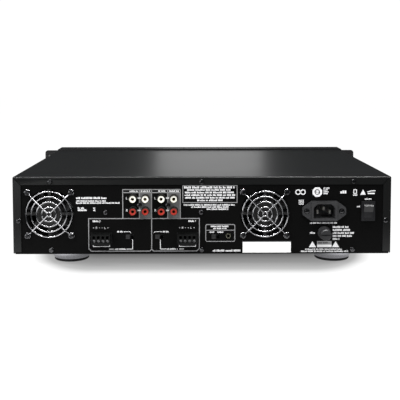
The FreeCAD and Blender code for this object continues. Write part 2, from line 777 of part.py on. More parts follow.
def make_guard(side):
    """Wire guard: concentric rings welded under four spokes that end in screw eyelets."""
    x = FAN_CENTRES[side]
    ring_y = f"({PANEL_Y} + guard_wire_r + {GUARD_LIFT})"
    spoke_y = f"({ring_y} + guard_wire_r*1.5)"
    seat_y = f"({PANEL_Y} + guard_wire_r)"
    bend = f"fan_hole_pitch/2*{BEND_SHARE}"
    landing = f"fan_hole_pitch/2*{LANDING_SHARE}"
    pieces = []
    for i, radius in enumerate(GUARD_RING_RADII):
        pieces.append(ring(f"guard_{side}_ring_{i}", (x, ring_y, "fan_z"), radius, "guard_wire_r"))
    for i, (sx, sz) in enumerate(((1, 1), (1, -1), (-1, 1), (-1, -1))):
        name = f"guard_{side}_spoke_{i}"
        outward = Vector(sx, 0, sz)
        pieces.append(wire(name, (x, spoke_y, "fan_z"), outward, "2.2", f"({bend})*1.41421"))
        corner = (f"{x} + {sx}*({bend})", spoke_y, f"fan_z + {sz}*({bend})")
        pieces.append(ball(f"{name}_bend", corner, "guard_wire_r"))
        low_bend = (f"{x} + {sx}*({landing})", seat_y, f"fan_z + {sz}*({landing})")
        pieces.append(ball(f"{name}_foot", low_bend, "guard_wire_r"))
        drop = DIMENSIONS["guard_wire_r"] * 1.5 + GUARD_LIFT
        run = DIMENSIONS["fan_hole_pitch"] / 2 * (LANDING_SHARE - BEND_SHARE)
        slope = Vector(sx * run, -drop, sz * run)
        pieces.append(wire(f"{name}_slope", corner, slope, "0", str(slope.Length)))
        flat = f"fan_hole_pitch/2*{1 - LANDING_SHARE}*1.41421 - {EYELET_R}"
        pieces.append(wire(f"{name}_flat", low_bend, outward, "0", flat))
        eye = (f"{x} + {sx}*fan_hole_pitch/2", seat_y, f"fan_z + {sz}*fan_hole_pitch/2")
        pieces.append(ring(f"{name}_eye", eye, EYELET_R, "guard_wire_r"))
    return fuse(f"fan_guard_{side}", pieces)


def wire(name, at, direction, start, end):
    """A straight piece of guard wire from start to end along a direction from a point."""
    piece = doc.addObject("Part::Cylinder", name)
    bind(piece, Radius="guard_wire_r", Height=f"{end} - {start}")
    turn = Rotation(AXES["+z"], direction)
    unit = Vector(direction).normalize()
    piece.Placement = Placement(Vector(), turn)
    for axis, text, part in zip("xyz", at, unit):
        piece.setExpression(f"Placement.Base.{axis}", formula(f"{text} + ({part:.6f})*({start})"))
    return piece


def make_fans():
    for side in FAN_CENTRES:
        make_fan_frame(side)
        make_impeller(side)
    node("fan_guards", group("fan_guards", [make_guard(side) for side in FAN_CENTRES]))
    master = screw_master("fan_screw_master", "fan_screw_r", "3.4", "2.3", "13")
    seat_y = f"{PANEL_Y} + 2*guard_wire_r"
    seats = [
        ((f"{x} + {dx}", seat_y, f"fan_z + {dz}"), "+y")
        for x in FAN_CENTRES.values()
        for dx, dz in FAN_CORNERS
    ]
    return node("fan_screws", screws("fan_screw", master, seats))


# ---------------------------------------------------------------- phono sockets

ZONES = (1, 2)
SOCKET_PLACES = {
    f"socket_{zone}_{use}_{channel}": (
        f"zone_{zone}_socket_x {'+' if use == 'input' else '-'} socket_pitch/2",
        f"socket_z {'+' if channel == 'left' else '-'} socket_pitch/2",
    )
    for zone in ZONES
    for use in ("input", "output")
    for channel in ("left", "right")
}


# A sleeve has a neck held in the block and a wider barrel outside the block's collar.
NECK_R = "(sleeve_r - sleeve_step)"
NECK_BORE_R = "(sleeve_r - sleeve_step - sleeve_t)"
BARREL_BORE_R = "(sleeve_r - sleeve_t)"
CONTACT_R = "(contact_bore_r + 0.35)"
COLLAR_R = "(sleeve_r + 0.7)"
SOCKET_BACK_Y = f"({PANEL_Y} - socket_in)"
BARREL_Y = f"({PANEL_Y} + collar_out)"


def make_socket_block(zone):
    """Moulded block for four phono sockets, with a collar round each sleeve."""
    centre = f"zone_{zone}_socket_x"
    half = "(socket_pitch/2 + socket_edge)"
    low = (f"{centre} - {half}", "board_y + board_t", f"socket_z - {half}")
    deep = f"{PANEL_BACK_Y} - board_y - board_t"
    pieces = [block(f"socket_block_{zone}_box", low, (f"2*{half}", deep, f"2*{half}"))]
    tools = []
    for name, (x, z) in SOCKET_PLACES.items():
        if name.startswith(f"socket_{zone}"):
            collar = (x, PANEL_BACK_Y, z)
            pieces.append(rod(f"{name}_collar", collar, COLLAR_R, "sheet + collar_out"))
            tools.append(rod(f"{name}_bore", (x, SOCKET_BACK_Y, z), NECK_R, "2*socket_in"))
    screw = seat_holes(f"socket_block_{zone}_hole", [SOCKET_SEATS[zone - 1]], "screw_r")
    joined = fuse(f"socket_block_{zone}_body", pieces)
    return node(f"socket_block_zone_{zone}", cut(f"socket_block_{zone}_drilled", joined, tools + screw))


def tube(name, start, outer, inner, length):
    wall = rod(f"{name}_wall", start, outer, length)
    bore = rod(f"{name}_bore_tool", start, inner, length)
    return cut(name, wall, [bore])


def make_sleeve(name, x, z):
    """Metal sleeve: a neck held in the block and a wider barrel outside the collar."""
    neck = rod(f"{name}_neck", (x, SOCKET_BACK_Y, z), NECK_R, "socket_in + collar_out")
    barrel = rod(f"{name}_barrel", (x, BARREL_Y, z), "sleeve_r", "sleeve_out - collar_out")
    neck_bore = rod(f"{name}_neck_bore", (x, SOCKET_BACK_Y, z), NECK_BORE_R, "socket_in + sleeve_out")
    mouth = (x, f"{BARREL_Y} + sleeve_t", z)
    barrel_bore = rod(f"{name}_barrel_bore", mouth, BARREL_BORE_R, "sleeve_out")
    return cut(f"{name}_sleeve", fuse(f"{name}_sleeve_wall", [neck, barrel]), [neck_bore, barrel_bore])


def make_insert(name, x, z):
    """Coloured insert: a stem inside the sleeve's neck and a head that fills its barrel."""
    stem = rod(f"{name}_stem", (x, SOCKET_BACK_Y, z), NECK_BORE_R, "socket_in + collar_out + sleeve_t")
    face = (x, f"{BARREL_Y} + sleeve_t", z)
    head = rod(f"{name}_head", face, BARREL_BORE_R, "sleeve_out - 2*collar_out - sleeve_t")
    bore = rod(f"{name}_insert_bore", (x, SOCKET_BACK_Y, z), CONTACT_R, "socket_in + sleeve_out")
    return cut(f"{name}_insert", fuse(f"{name}_insert_wall", [stem, head]), [bore])


def make_socket_fittings():
    """Metal sleeves, coloured inserts and centre contacts of the phono sockets."""
    sleeves = []
    contacts = []
    inserts = {"left": [], "right": []}
    for name, (x, z) in SOCKET_PLACES.items():
        channel = name.rsplit("_", 1)[1]
        sleeves.append(make_sleeve(name, x, z))
        inserts[channel].append(make_insert(name, x, z))
        start = (x, SOCKET_BACK_Y, z)
        long = "socket_in + sleeve_out - 2"
        contacts.append(tube(f"{name}_contact", start, CONTACT_R, "contact_bore_r", long))
    node("socket_sleeves", group("socket_sleeves", sleeves))
    node("socket_inserts_white", group("socket_inserts_white", inserts["left"]))
    node("socket_inserts_red", group("socket_inserts_red", inserts["right"]))
    return node("socket_contacts", group("socket_contacts", contacts))


# ---------------------------------------------------------------- speaker terminals

def pole_x(zone, pole):
    """Middle of one of the four poles of a zone's terminal."""
    return f"zone_{zone}_terminal_x + ({pole} - 1.5)*terminal_pitch"


def make_terminal_header(zone):
    """Shroud of the pluggable terminal, fixed to the input board, with pin holes in its back."""
    x = f"zone_{zone}_terminal_x"
    under = "terminal_z - plug_high/2"
    outer_low = (f"{x} - plug_w/2 - header_side", "board_y + board_t", f"{under} - header_rim")
    long = f"{PANEL_Y} + 0.6 - board_y - board_t"
    shroud = block(f"header_{zone}_outer", outer_low, ("plug_w + 2*header_side", long, "plug_high + 2*header_rim"))
    inner_low = (f"{x} - plug_w/2 - fit_gap", f"{PANEL_Y} - header_deep", f"{under} - fit_gap")
    inner = ("plug_w + 2*fit_gap", "20", "plug_high + 2*fit_gap")
    tools = [block(f"header_{zone}_inner", inner_low, inner)]
    for pole in range(4):
        at = (pole_x(zone, pole), "board_y", "terminal_z")
        tools.append(rod(f"header_{zone}_pin_hole_{pole}", at, "pin_r", "20"))
    return node(f"terminal_header_zone_{zone}", cut(f"header_{zone}_drilled", shroud, tools))


def make_terminal_plug(zone):
    """Removable plug: four wire mouths above four clamp screws, and a ledge along the bottom."""
    x = f"zone_{zone}_terminal_x"
    back_y = f"({PANEL_Y} - header_deep + fit_gap)"
    low = (f"{x} - plug_w/2", back_y, "terminal_z - plug_high/2")
    length = f"{PANEL_Y} + plug_out - {back_y}"
    shell = block(f"plug_{zone}_shell", low, ("plug_w", length, "plug_high"))
    ledge_low = (f"{x} - plug_w/2", f"{PANEL_Y} + 2", "terminal_z - plug_high/2 - 1.2")
    ledge = block(f"plug_{zone}_ledge", ledge_low, ("plug_w", "plug_out - 0.6", "2"))
    tools = []
    for pole in range(4):
        mouth = (f"{pole_x(zone, pole)} - 1.6", f"{PANEL_Y} + plug_out - 6", "terminal_z + 0.4")
        tools.append(block(f"plug_{zone}_mouth_{pole}", mouth, ("3.2", "7", "3.4")))
        well = (pole_x(zone, pole), f"{PANEL_Y} + plug_out - 5", "terminal_z - clamp_drop")
        tools.append(rod(f"plug_{zone}_well_{pole}", well, "clamp_well_r", "6"))
        pin = (pole_x(zone, pole), f"{back_y} - 1", "terminal_z")
        tools.append(rod(f"plug_{zone}_socket_{pole}", pin, "0.8", "9"))
    moulding = fuse(f"plug_{zone}_moulding", [shell, ledge])
    return node(f"terminal_plug_zone_{zone}", cut(f"plug_{zone}_drilled", moulding, tools))


def make_plug_screws(zone):
    """Slotted clamp screws sunk in a plug's wells."""
    pieces = []
    for pole in range(4):
        at = (pole_x(zone, pole), f"{PANEL_Y} + plug_out - 5", "terminal_z - clamp_drop")
        stud = rod(f"clamp_{zone}_{pole}_stud", at, "clamp_well_r", "3.4")
        low = (f"{at[0]} - 2", f"{PANEL_Y} + plug_out - 2.4", "terminal_z - clamp_drop - 0.3")
        slot = block(f"clamp_{zone}_{pole}_slot", low, ("4", "2", "0.6"))
        pieces.append(cut(f"clamp_{zone}_{pole}", stud, [slot]))
    return node(f"clamp_screws_zone_{zone}", group(f"clamp_screws_{zone}", pieces))


def make_terminals():
    pins = []
    for zone in ZONES:
        make_terminal_header(zone)
        make_terminal_plug(zone)
        make_plug_screws(zone)
        for pole in range(4):
            at = (pole_x(zone, pole), "board_y + board_t", "terminal_z")
            pins.append(rod(f"terminal_pin_{zone}_{pole}", at, "pin_r", f"{PANEL_Y} - 4 - board_y - board_t"))
    return node("terminal_pins", group("terminal_pins", pins))


# ---------------------------------------------------------------- switches and trigger jack

SWITCHES = ("zone_1_switch", "zone_2_switch", "trigger_switch")


def make_switch(name):
    """Slide switch: a body behind the panel and a ribbed knob held by its wider base."""
    x = f"{name}_x"
    face = PANEL_BACK_Y
    low = (f"{x} - 8", "board_y + board_t", "switch_z - 4.2")
    box = block(f"{name}_box", low, ("16", f"{face} - board_y - board_t", "8.4"))
    window = (f"{x} - switch_window_w/2", f"{face} - 4", "switch_z - switch_window_high/2")
    chamber = (f"{x} - 7.2", f"{face} - 6", "switch_z - 3.4")
    tools = [
        block(f"{name}_slot", window, ("switch_window_w", "5", "switch_window_high")),
        block(f"{name}_chamber", chamber, ("14.4", "2.4", "6.8")),
    ]
    node(f"{name}_body", cut(f"{name}_housing", box, tools))
    head_w = f"(switch_window_w - 2*{KNOB_GAP} - knob_travel)"
    head_high = f"(switch_window_high - 2*{KNOB_GAP})"
    rest_x = f"({x} + switch_window_w/2 - {KNOB_GAP} - {head_w})"
    out_y = f"({PANEL_Y} + 2.2)"
    head_low = (rest_x, f"{face} - 4.2", f"switch_z - {head_high}/2")
    head = block(f"{name}_head", head_low, (head_w, f"{out_y} - {face} + 4.2", head_high))
    base_low = (f"{rest_x} - 1.6", f"{face} - 5.8", "switch_z - 3.1")
    base = block(f"{name}_base", base_low, (f"{head_w} + 3.2", "1.9", "6.2"))
    grooves = []
    for i in range(3):
        low = (f"{rest_x} + {head_w}*({i} + 0.6)/3.2 - 0.2", f"{out_y} - 0.5", "switch_z - 4")
        grooves.append(block(f"{name}_groove_{i}", low, ("0.45", "1", "8")))
    return node(f"{name}_knob", cut(f"{name}_ribbed", fuse(f"{name}_moulding", [head, base]), grooves))


KNOB_GAP = "0.25"


def make_trigger_jack():
    """Trigger jack: a moulded body on the board and a metal bushing through the panel."""
    low = ("jack_x - 5", "board_y + board_t", "jack_z - 4.5")
    box = block("jack_box", low, ("10", f"{PANEL_BACK_Y} - board_y - board_t", "9"))
    bore = rod("jack_body_bore", ("jack_x", f"{PANEL_Y} - 14", "jack_z"), "jack_bore_r", "20")
    seat = rod("jack_body_seat", ("jack_x", f"{PANEL_BACK_Y} - 3", "jack_z"), "jack_r", "6")
    node("trigger_jack", cut("trigger_jack_drilled", box, [bore, seat]))
    start = ("jack_x", f"{PANEL_BACK_Y} - 3", "jack_z")
    bushing = tube("jack_bushing_tube", start, "jack_r", "jack_bore_r", "3 + sheet + 1.6")
    return node("trigger_bushing", bushing)


# ---------------------------------------------------------------- mains inlet, fuse, rocker

def make_inlet():
    """Mains inlet: tapered flange, raised rim, deep socket cavity and rear housing."""
    inlet = body("mains_inlet_body")
    half_w = "inlet_w/2"
    half_high = "inlet_high/2"
    flange = [
        (f"-{half_w}", "-4"),
        ("-14.5", f"-{half_high}"),
        ("14.5", f"-{half_high}"),
        (half_w, "-4"),
        (half_w, "4"),
        ("14.5", half_high),
        ("-14.5", half_high),
        (f"-{half_w}", "4"),
    ]
    outline = sketch_on(inlet, "inlet_flange_outline", "XZ_Plane", "-inlet_flange_t", flange)
    pad(inlet, "inlet_flange", outline, "inlet_flange_t")
    end = DIMENSIONS["inlet_w"] / 2
    fillet(
        inlet, "inlet_ear_rounds", 3.6,
        lambda e: runs_along(e, "+y") and abs(abs(middle(e).x) - end) < 1e-6,
    )
    rim_low = ("-14.5", 0, f"-{half_high} + 0.8")
    solid_box(inlet, "inlet_rim", rim_low, ("29", "inlet_flange_t + 1.4", "inlet_high - 1.6"))
    housing = ("-13.5", "-19", "-9.9")
    solid_box(inlet, "inlet_housing", housing, ("27", "19 + inlet_flange_t/2", "19.8"))
    mouth = [
        ("-inlet_mouth_w/2", "-inlet_mouth_high/2"),
        ("inlet_mouth_w/2", "-inlet_mouth_high/2"),
        ("inlet_mouth_w/2", "inlet_mouth_high/2 - inlet_mouth_cut"),
        ("inlet_mouth_w/2 - inlet_mouth_cut", "inlet_mouth_high/2"),
        ("-inlet_mouth_w/2 + inlet_mouth_cut", "inlet_mouth_high/2"),
        ("-inlet_mouth_w/2", "inlet_mouth_high/2 - inlet_mouth_cut"),
    ]
    opening = sketch_on(inlet, "inlet_mouth_outline", "XZ_Plane", "-inlet_flange_t - 2", mouth)
    cavity = inlet.newObject("PartDesign::Pocket", "inlet_cavity")
    cavity.Profile = opening
    cavity.Reversed = True
    bind(cavity, Length="inlet_deep + 2")
    doc.recompute()
    place(inlet, ("inlet_x", PANEL_Y, "inlet_z"))
    holes = []
    for i, sign in enumerate(("-", "+")):
        at = (f"inlet_x {sign} inlet_hole_pitch/2", f"{PANEL_Y} - 1", "inlet_z")
        holes.append(rod(f"inlet_ear_hole_{i}", at, "screw_r", "6"))
        at = (at[0], f"{PANEL_Y} + inlet_flange_t - 1.6", "inlet_z")
        holes.append(rod(f"inlet_ear_sink_{i}", at, "screw_head_r + 0.4", "4"))
    for name, (dx, dz) in INLET_PINS.items():
        low = (f"inlet_x + {dx} - 1", f"{PANEL_Y} - 25", f"inlet_z + {dz} - 2")
        holes.append(block(f"inlet_{name}_hole", low, ("2", "20", "4")))
    return node("mains_inlet", cut("mains_inlet_drilled", inlet, holes))


INLET_PINS = {"live_pin": ("7", "-1.6"), "neutral_pin": ("-7", "-1.6"), "earth_pin": ("0", "2.4")}


def make_inlet_fittings():
    pins = []
    for name, (dx, dz) in INLET_PINS.items():
        low = (f"inlet_x + {dx} - 1", f"{PANEL_Y} - 23", f"inlet_z + {dz} - 2")
        pins.append(block(name, low, ("2", "21.5", "4")))
    node("inlet_pins", group("inlet_pins", pins))
    master = screw_master("inlet_screw_master", "screw_r", "screw_head_r", "screw_head_t", "8")
    seat_y = f"{PANEL_Y} + inlet_flange_t - 1.6"
    seats = [((f"inlet_x {sign} inlet_hole_pitch/2", seat_y, "inlet_z"), "+y") for sign in "-+"]
    return node("inlet_screws", screws("inlet_screw", master, seats))


def make_fuse():
    """Fuse holder: a flanged tube through the panel, its slotted turning cap and the fuse link."""
    axis = ("fuse_x", PANEL_Y, "fuse_z")
    bore = "(fuse_cap_r - 1.1)"
    holder = [
        ("fuse_cap_r + 0.3", "-36"),
        ("fuse_cap_r + 0.3", 0),
        ("fuse_flange_r", 0),
        ("fuse_flange_r", "1.6"),
        ("fuse_flange_r - 0.7", "2.4"),
        (bore, "2.4"),
        (bore, "-34"),
        ("3", "-34"),
        ("3", "-36"),
    ]
    node("fuse_holder", turned("fuse_holder", holder, axis, "+y"))
    cap = [
        ("3.6", "-8"),
        (f"{bore} - 0.2", "-8"),
        (f"{bore} - 0.2", "2.6"),
        ("fuse_cap_r + 0.4", "2.6"),
        ("fuse_cap_r + 0.2", "fuse_out - 1.2"),
        ("fuse_cap_r - 0.8", "fuse_out"),
        (0, "fuse_out"),
        (0, "5"),
        ("3.6", "5"),
    ]
    shell = turned("fuse_cap_shell", cap, axis, "+y")
    low = ("fuse_x - 8", f"{PANEL_Y} + fuse_out - 1.6", "fuse_z - 0.6")
    slot = block("fuse_cap_slot", low, ("16", "3", "1.2"))
    flutes = [fuse_flute(i) for i in range(FLUTES)]
    node("fuse_cap", cut("fuse_cap_slotted", shell, [slot] + flutes))
    link = [(0, "-26"), ("3", "-26"), ("3", "-6"), ("2.6", "-5.4"), ("2.6", "3.6"), (0, "3.6")]
    return node("fuse_link", turned("fuse_link", link, axis, "+y"))


FLUTES = 12


def fuse_flute(i):
    """One grip flute round the fuse cap."""
    turn = Rotation(AXES["+y"], 360 * (i + 0.5) / FLUTES)
    reach = turn.multVec(Vector(DIMENSIONS["fuse_cap_r"] + 1.1, 0, 0))
    at = (f"fuse_x + ({reach.x:.4f})", f"{PANEL_Y} + 4.5", f"fuse_z + ({reach.z:.4f})")
    return rod(f"fuse_flute_{i}", at, "1.1", "12")


# The rocker's axle: its radius, and how far each end reaches into the frame.
AXLE_R = "1.0"
AXLE_IN = "0.8"


def make_rocker():
    """Power rocker: a snap-in frame with a round cavity, and a rocker that tilts in it."""
    pivot_y = f"({PANEL_Y} - rocker_pivot_in)"
    half_w = "rocker_bezel_w/2"
    low = (f"rocker_x - {half_w}", PANEL_Y, "rocker_z - rocker_bezel_high/2")
    bezel = block("rocker_bezel", low, ("rocker_bezel_w", "2", "rocker_bezel_high"))
    low = ("rocker_x - 6.6", f"{PANEL_Y} - 16", "rocker_z - 10.5")
    housing = block("rocker_housing", low, ("13.2", "17", "21"))
    width = "(rocker_bezel_w - 4.4)"
    start = (f"rocker_x - {width}/2", pivot_y, "rocker_z")
    cavity = rod("rocker_cavity", start, "rocker_r + 0.25", width, "+x")
    start = (f"rocker_x - {width}/2 - {AXLE_IN}", pivot_y, "rocker_z")
    bearing = rod("rocker_bearing", start, f"{AXLE_R} + 0.05", f"{width} + 2*{AXLE_IN}", "+x")
    frame = fuse("rocker_frame_moulding", [bezel, housing])
    node("rocker_frame", cut("rocker_frame_hollow", frame, [cavity, bearing]))
    return make_rocker_key(pivot_y, f"({width} - 2*fit_gap)")


def make_rocker_key(pivot_y, width):
    """The tilting key: a slice of a cylinder, cut back to two faces that meet in a shallow valley."""
    key = rod("rocker_drum", (f"rocker_x - {width}/2", pivot_y, "rocker_z"), "rocker_r", width, "+x")
    high = 50.0
    low = high - DIMENSIONS["rocker_swing"]
    tools = []
    radius = DIMENSIONS["rocker_r"]
    top = Vector(0, radius * sin_deg(high), radius * cos_deg(high))
    bottom = Vector(0, radius * sin_deg(low), -radius * cos_deg(low))
    valley = (top + bottom) * 0.5 + Vector(0, -1.1, 0.4)
    outline = body("rocker_trim")
    points = [
        (f"{top.y:.4f}", f"{top.z:.4f}"),
        (f"{valley.y:.4f}", f"{valley.z:.4f}"),
        (f"{bottom.y:.4f}", f"{bottom.z:.4f}"),
        ("rocker_r*2", "-rocker_r*1.6"),
        ("rocker_r*2", "rocker_r*1.6"),
    ]
    sketch = sketch_on(outline, "rocker_trim_outline", "YZ_Plane", f"-{width}/2 - 1", points)
    pad(outline, "rocker_trim_pad", sketch, f"{width} + 2")
    place(outline, ("rocker_x", pivot_y, "rocker_z"))
    tools.append(outline)
    rear = (f"rocker_x - {width}/2 - 1", f"{pivot_y} - rocker_r - 1", "rocker_z - rocker_r - 1")
    tools.append(block("rocker_back_trim", rear, (f"{width} + 2", "rocker_r - 2", "2*rocker_r + 2")))
    trimmed = cut("rocker_trimmed", key, tools)
    start = (f"rocker_x - {width}/2 - {AXLE_IN}", pivot_y, "rocker_z")
    axle = rod("rocker_axle", start, AXLE_R, f"{width} + 2*{AXLE_IN}", "+x")
    return node("power_rocker", fuse("power_rocker_key", [trimmed, axle]))


def sin_deg(angle):
    return Rotation(AXES["+z"], angle).multVec(AXES["+x"]).y


def cos_deg(angle):
    return Rotation(AXES["+z"], angle).multVec(AXES["+x"]).x


def make_label():
    low = ("label_low_x", PANEL_Y, "label_low_z")
    size = ("label_high_x - label_low_x", "label_t", "label_high_z - label_low_z")
    return node("serial_label", block("serial_label_sheet", low, size))


# ---------------------------------------------------------------- inside and front

def make_boards():
    """Upright input board behind the connectors, main board on spacers, and its capacitors."""
    low = ("jack_x - 8", "board_y", "base_z + 5")
    size = ("zone_2_terminal_x - jack_x + 24", "board_t", "74")
    node("input_board", block("input_board_sheet", low, size))
    board_low = ("-36", "-22", "amp_board_z")
    board = block("amplifier_board_sheet", board_low, ("176", "150", "board_t"))
    spots = [(x, y) for x in ("-30", "52", "134") for y in ("-16", "122")]
    holes = []
    for i, (x, y) in enumerate(spots):
        holes.append(rod(f"board_hole_{i}", (x, y, "amp_board_z - 1"), "1.6", "4", "+z"))
    node("amplifier_board", cut("amplifier_board_drilled", board, holes))
    height = f"amp_board_z - {TRAY_TOP_Z}"
    posts = []
    for i, (x, y) in enumerate(spots):
        post = rod(f"spacer_post_{i}", (x, y, TRAY_TOP_Z), "3", height, "+z")
        stud = rod(f"spacer_stud_{i}", (x, y, TRAY_TOP_Z), "1.6", f"{height} + board_t + 2", "+z")
        posts.append(fuse(f"spacer_{i}", [post, stud]))
    node("board_spacers", group("board_spacers", posts))
    cans = []
    for i in range(4):
        at = (f"{i}*(2*capacitor_r + 2)", "12", "amp_board_z + board_t")
        cans.append(rod(f"capacitor_{i}", at, "capacitor_r", "capacitor_high", "+z"))
    return node("reservoir_capacitors", group("reservoir_capacitors", cans))


def make_heatsink(side):
    """Finned extrusion in the air path in front of a fan."""
    name = f"heatsink_{side}"
    sink = body(name)
    half = "heatsink_w/2"
    base = (f"-{half}", "-heatsink_len", 0)
    solid_box(sink, f"{name}_base", base, ("heatsink_w", "heatsink_len", "6"))
    fin = solid_box(sink, f"{name}_fin", base, ("2", "heatsink_len", "heatsink_high"))
    row_of(sink, f"{name}_fins", fin, "X_Axis", "heatsink_w - 2", 8)
    place(sink, (FAN_CENTRES[side], "heatsink_rear_y", "fan_z - heatsink_high/2 + 4"))
    return node(name, sink)


def make_transistors():
    """Eight output devices clamped under the heatsink bases."""
    devices = []
    for side, x in FAN_CENTRES.items():
        for i in range(4):
            low = (f"{x} - 8", f"heatsink_rear_y - 30 - {i}*32", "fan_z - heatsink_high/2 + 4 - 5")
            devices.append(block(f"transistor_{side}_{i}", low, ("16", "20", "5")))
    return node("power_transistors", group("power_transistors", devices))


def make_transformer():
    """Toroidal transformer with its dished clamp plate and bolt."""
    at = ("toroid_x", "toroid_y", TRAY_TOP_Z)
    profile = [
        ("toroid_hole_r", 0),
        ("toroid_r", 0),
        ("toroid_r", "toroid_high"),
        ("toroid_hole_r", "toroid_high"),
    ]
    coil = turned("toroidal_transformer", profile, at)
    outer = DIMENSIONS["toroid_r"]
    inner = DIMENSIONS["toroid_hole_r"]
    fillet(
        coil, "toroid_rounds", "toroid_high*0.25",
        lambda e: is_circle(e, outer, 0) or is_circle(e, outer, DIMENSIONS["toroid_high"]),
    )
    node("toroidal_transformer", coil)
    clamp = [
        (0, 0),
        ("4", 0),
        ("4", "toroid_high"),
        (f"{inner} + 16", "toroid_high"),
        (f"{inner} + 16", "toroid_high + 2"),
        ("7", "toroid_high + 2"),
        ("7", "toroid_high + 8"),
        (0, "toroid_high + 8"),
    ]
    return node("transformer_clamp", turned("transformer_clamp", clamp, at))


def make_lenses():
    lenses = []
    for i in range(3):
        at = (f"lens_x + {i}*lens_pitch", "front_y + 0.2", "lens_z")
        lenses.append(rod(f"status_lens_{i}", at, "lens_r", "bezel_wall - 0.4"))
    return node("status_lenses", group("status_lenses", lenses))


# ---------------------------------------------------------------- the whole amplifier

def make_screws():
    master = screw_master("case_screw_master", "screw_r", "screw_head_r", "screw_head_t", "screw_len")
    case = LIP_SEATS + PANEL_LOW_SEATS + PANEL_MID_SEATS + SOCKET_SEATS + SIDE_SEATS
    node("case_screws", screws("case_screw", master, case))
    return node("ear_screws", screws("ear_screw", master, EAR_SEATS["left"] + EAR_SEATS["right"]))


def check_and_write():
    """Stop on any failed feature or bad shape, then write one STEP file per node."""
    doc.recompute()
    for thing in doc.Objects:
        if "Invalid" in thing.State or "Error" in thing.State:
            raise RuntimeError(f"{thing.Label}: {thing.State}")
    for thing in nodes:
        if thing.Shape.isNull() or not thing.Shape.isValid() or not thing.Shape.Solids:
            raise RuntimeError(f"{thing.Label} has a bad shape")
    os.makedirs("parts", exist_ok=True)
    for thing in nodes:
        thing.Shape.exportStep(f"parts/{thing.Label}.step")
        print(f"{thing.Label}: {len(thing.Shape.Solids)} solids, {thing.Shape.Volume:.1f} mm3")


def main():
    make_sheet()
    make_pan()
    make_rear_panel()
    make_cover()
    make_bezel()
    for side in ("left", "right"):
        make_ear(side)
    make_screws()
    for name in FOOT_PLACES:
        make_foot(name)
    make_foot_fittings()
    make_fans()
    for zone in ZONES:
        make_socket_block(zone)
    make_socket_fittings()
    make_terminals()
    for name in SWITCHES:
        make_switch(name)
    make_trigger_jack()
    make_inlet()
    make_inlet_fittings()
    make_fuse()
    make_rocker()
    make_label()
    make_boards()
    for side in FAN_CENTRES:
        make_heatsink(side)
    make_transistors()
    make_transformer()
    make_lenses()
    check_and_write()


main()
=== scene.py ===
import math
import random

import bmesh
import bpy
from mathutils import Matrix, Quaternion, Vector


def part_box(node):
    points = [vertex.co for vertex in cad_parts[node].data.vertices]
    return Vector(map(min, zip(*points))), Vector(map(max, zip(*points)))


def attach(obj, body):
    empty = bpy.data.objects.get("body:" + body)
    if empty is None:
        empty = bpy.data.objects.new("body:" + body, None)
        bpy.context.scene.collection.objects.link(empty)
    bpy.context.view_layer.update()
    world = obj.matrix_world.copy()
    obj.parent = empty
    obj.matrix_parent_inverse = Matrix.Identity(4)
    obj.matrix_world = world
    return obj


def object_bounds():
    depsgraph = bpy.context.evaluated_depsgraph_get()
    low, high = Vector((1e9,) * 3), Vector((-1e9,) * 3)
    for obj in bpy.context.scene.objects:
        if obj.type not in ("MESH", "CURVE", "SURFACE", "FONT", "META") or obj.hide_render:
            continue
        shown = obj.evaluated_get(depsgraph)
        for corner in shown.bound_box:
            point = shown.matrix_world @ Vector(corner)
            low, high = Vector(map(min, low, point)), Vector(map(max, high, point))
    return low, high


# Looks of a two-zone rack power amplifier, seen from behind. Everything is in metres.
# The rear is +Y and a viewer behind the amplifier has +X on the left.
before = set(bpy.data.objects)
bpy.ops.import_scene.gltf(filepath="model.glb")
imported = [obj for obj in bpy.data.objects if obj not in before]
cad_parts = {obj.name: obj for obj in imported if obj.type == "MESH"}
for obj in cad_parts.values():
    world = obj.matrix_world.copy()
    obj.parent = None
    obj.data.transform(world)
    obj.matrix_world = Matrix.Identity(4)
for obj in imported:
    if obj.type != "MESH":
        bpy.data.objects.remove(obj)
cad_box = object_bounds()
MM = 0.001


def middle_of(node):
    """Centre of a CAD node's box."""
    low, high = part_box(node)
    return (low + high) / 2


PANEL_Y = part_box("rear_panel")[1].y
PANEL_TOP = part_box("rear_panel")[1].z
BASE_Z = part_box("chassis_base")[0].z
SOCKETS = {zone: middle_of(f"socket_block_zone_{zone}") for zone in (1, 2)}
PLUGS = {zone: middle_of(f"terminal_plug_zone_{zone}") for zone in (1, 2)}
SWITCHES = {zone: middle_of(f"zone_{zone}_switch_body") for zone in (1, 2)}
TRIGGER = middle_of("trigger_switch_body")
JACK = middle_of("trigger_bushing")
INLET = middle_of("mains_inlet")
FUSE = middle_of("fuse_cap")
ROCKER = middle_of("rocker_frame")
LABEL_LOW, LABEL_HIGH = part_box("serial_label")

# Thickness of a film of ink, and width of the lines of the printed frames.
INK_T = 0.04 * MM
INK_LINE = 0.95 * MM
# Depth of a moulded or painted grain, and of a finer one.
GRAIN_DEPTH = 0.03 * MM
FINE_DEPTH = 0.01 * MM


# ---------------------------------------------------------------- materials

def new_material(name, color, roughness, metallic=0.0, specular=0.5):
    """A material, and its tools: node tree, principled shader and object coordinates."""
    material = bpy.data.materials.new(name)
    material.use_nodes = True
    tree = material.node_tree
    shader = tree.nodes["Principled BSDF"]
    shader.inputs["Base Color"].default_value = (*color, 1)
    shader.inputs["Roughness"].default_value = roughness
    shader.inputs["Metallic"].default_value = metallic
    shader.inputs["Specular IOR Level"].default_value = specular
    coordinates = tree.nodes.new("ShaderNodeTexCoord")
    return material, (tree, shader, coordinates.outputs["Object"])


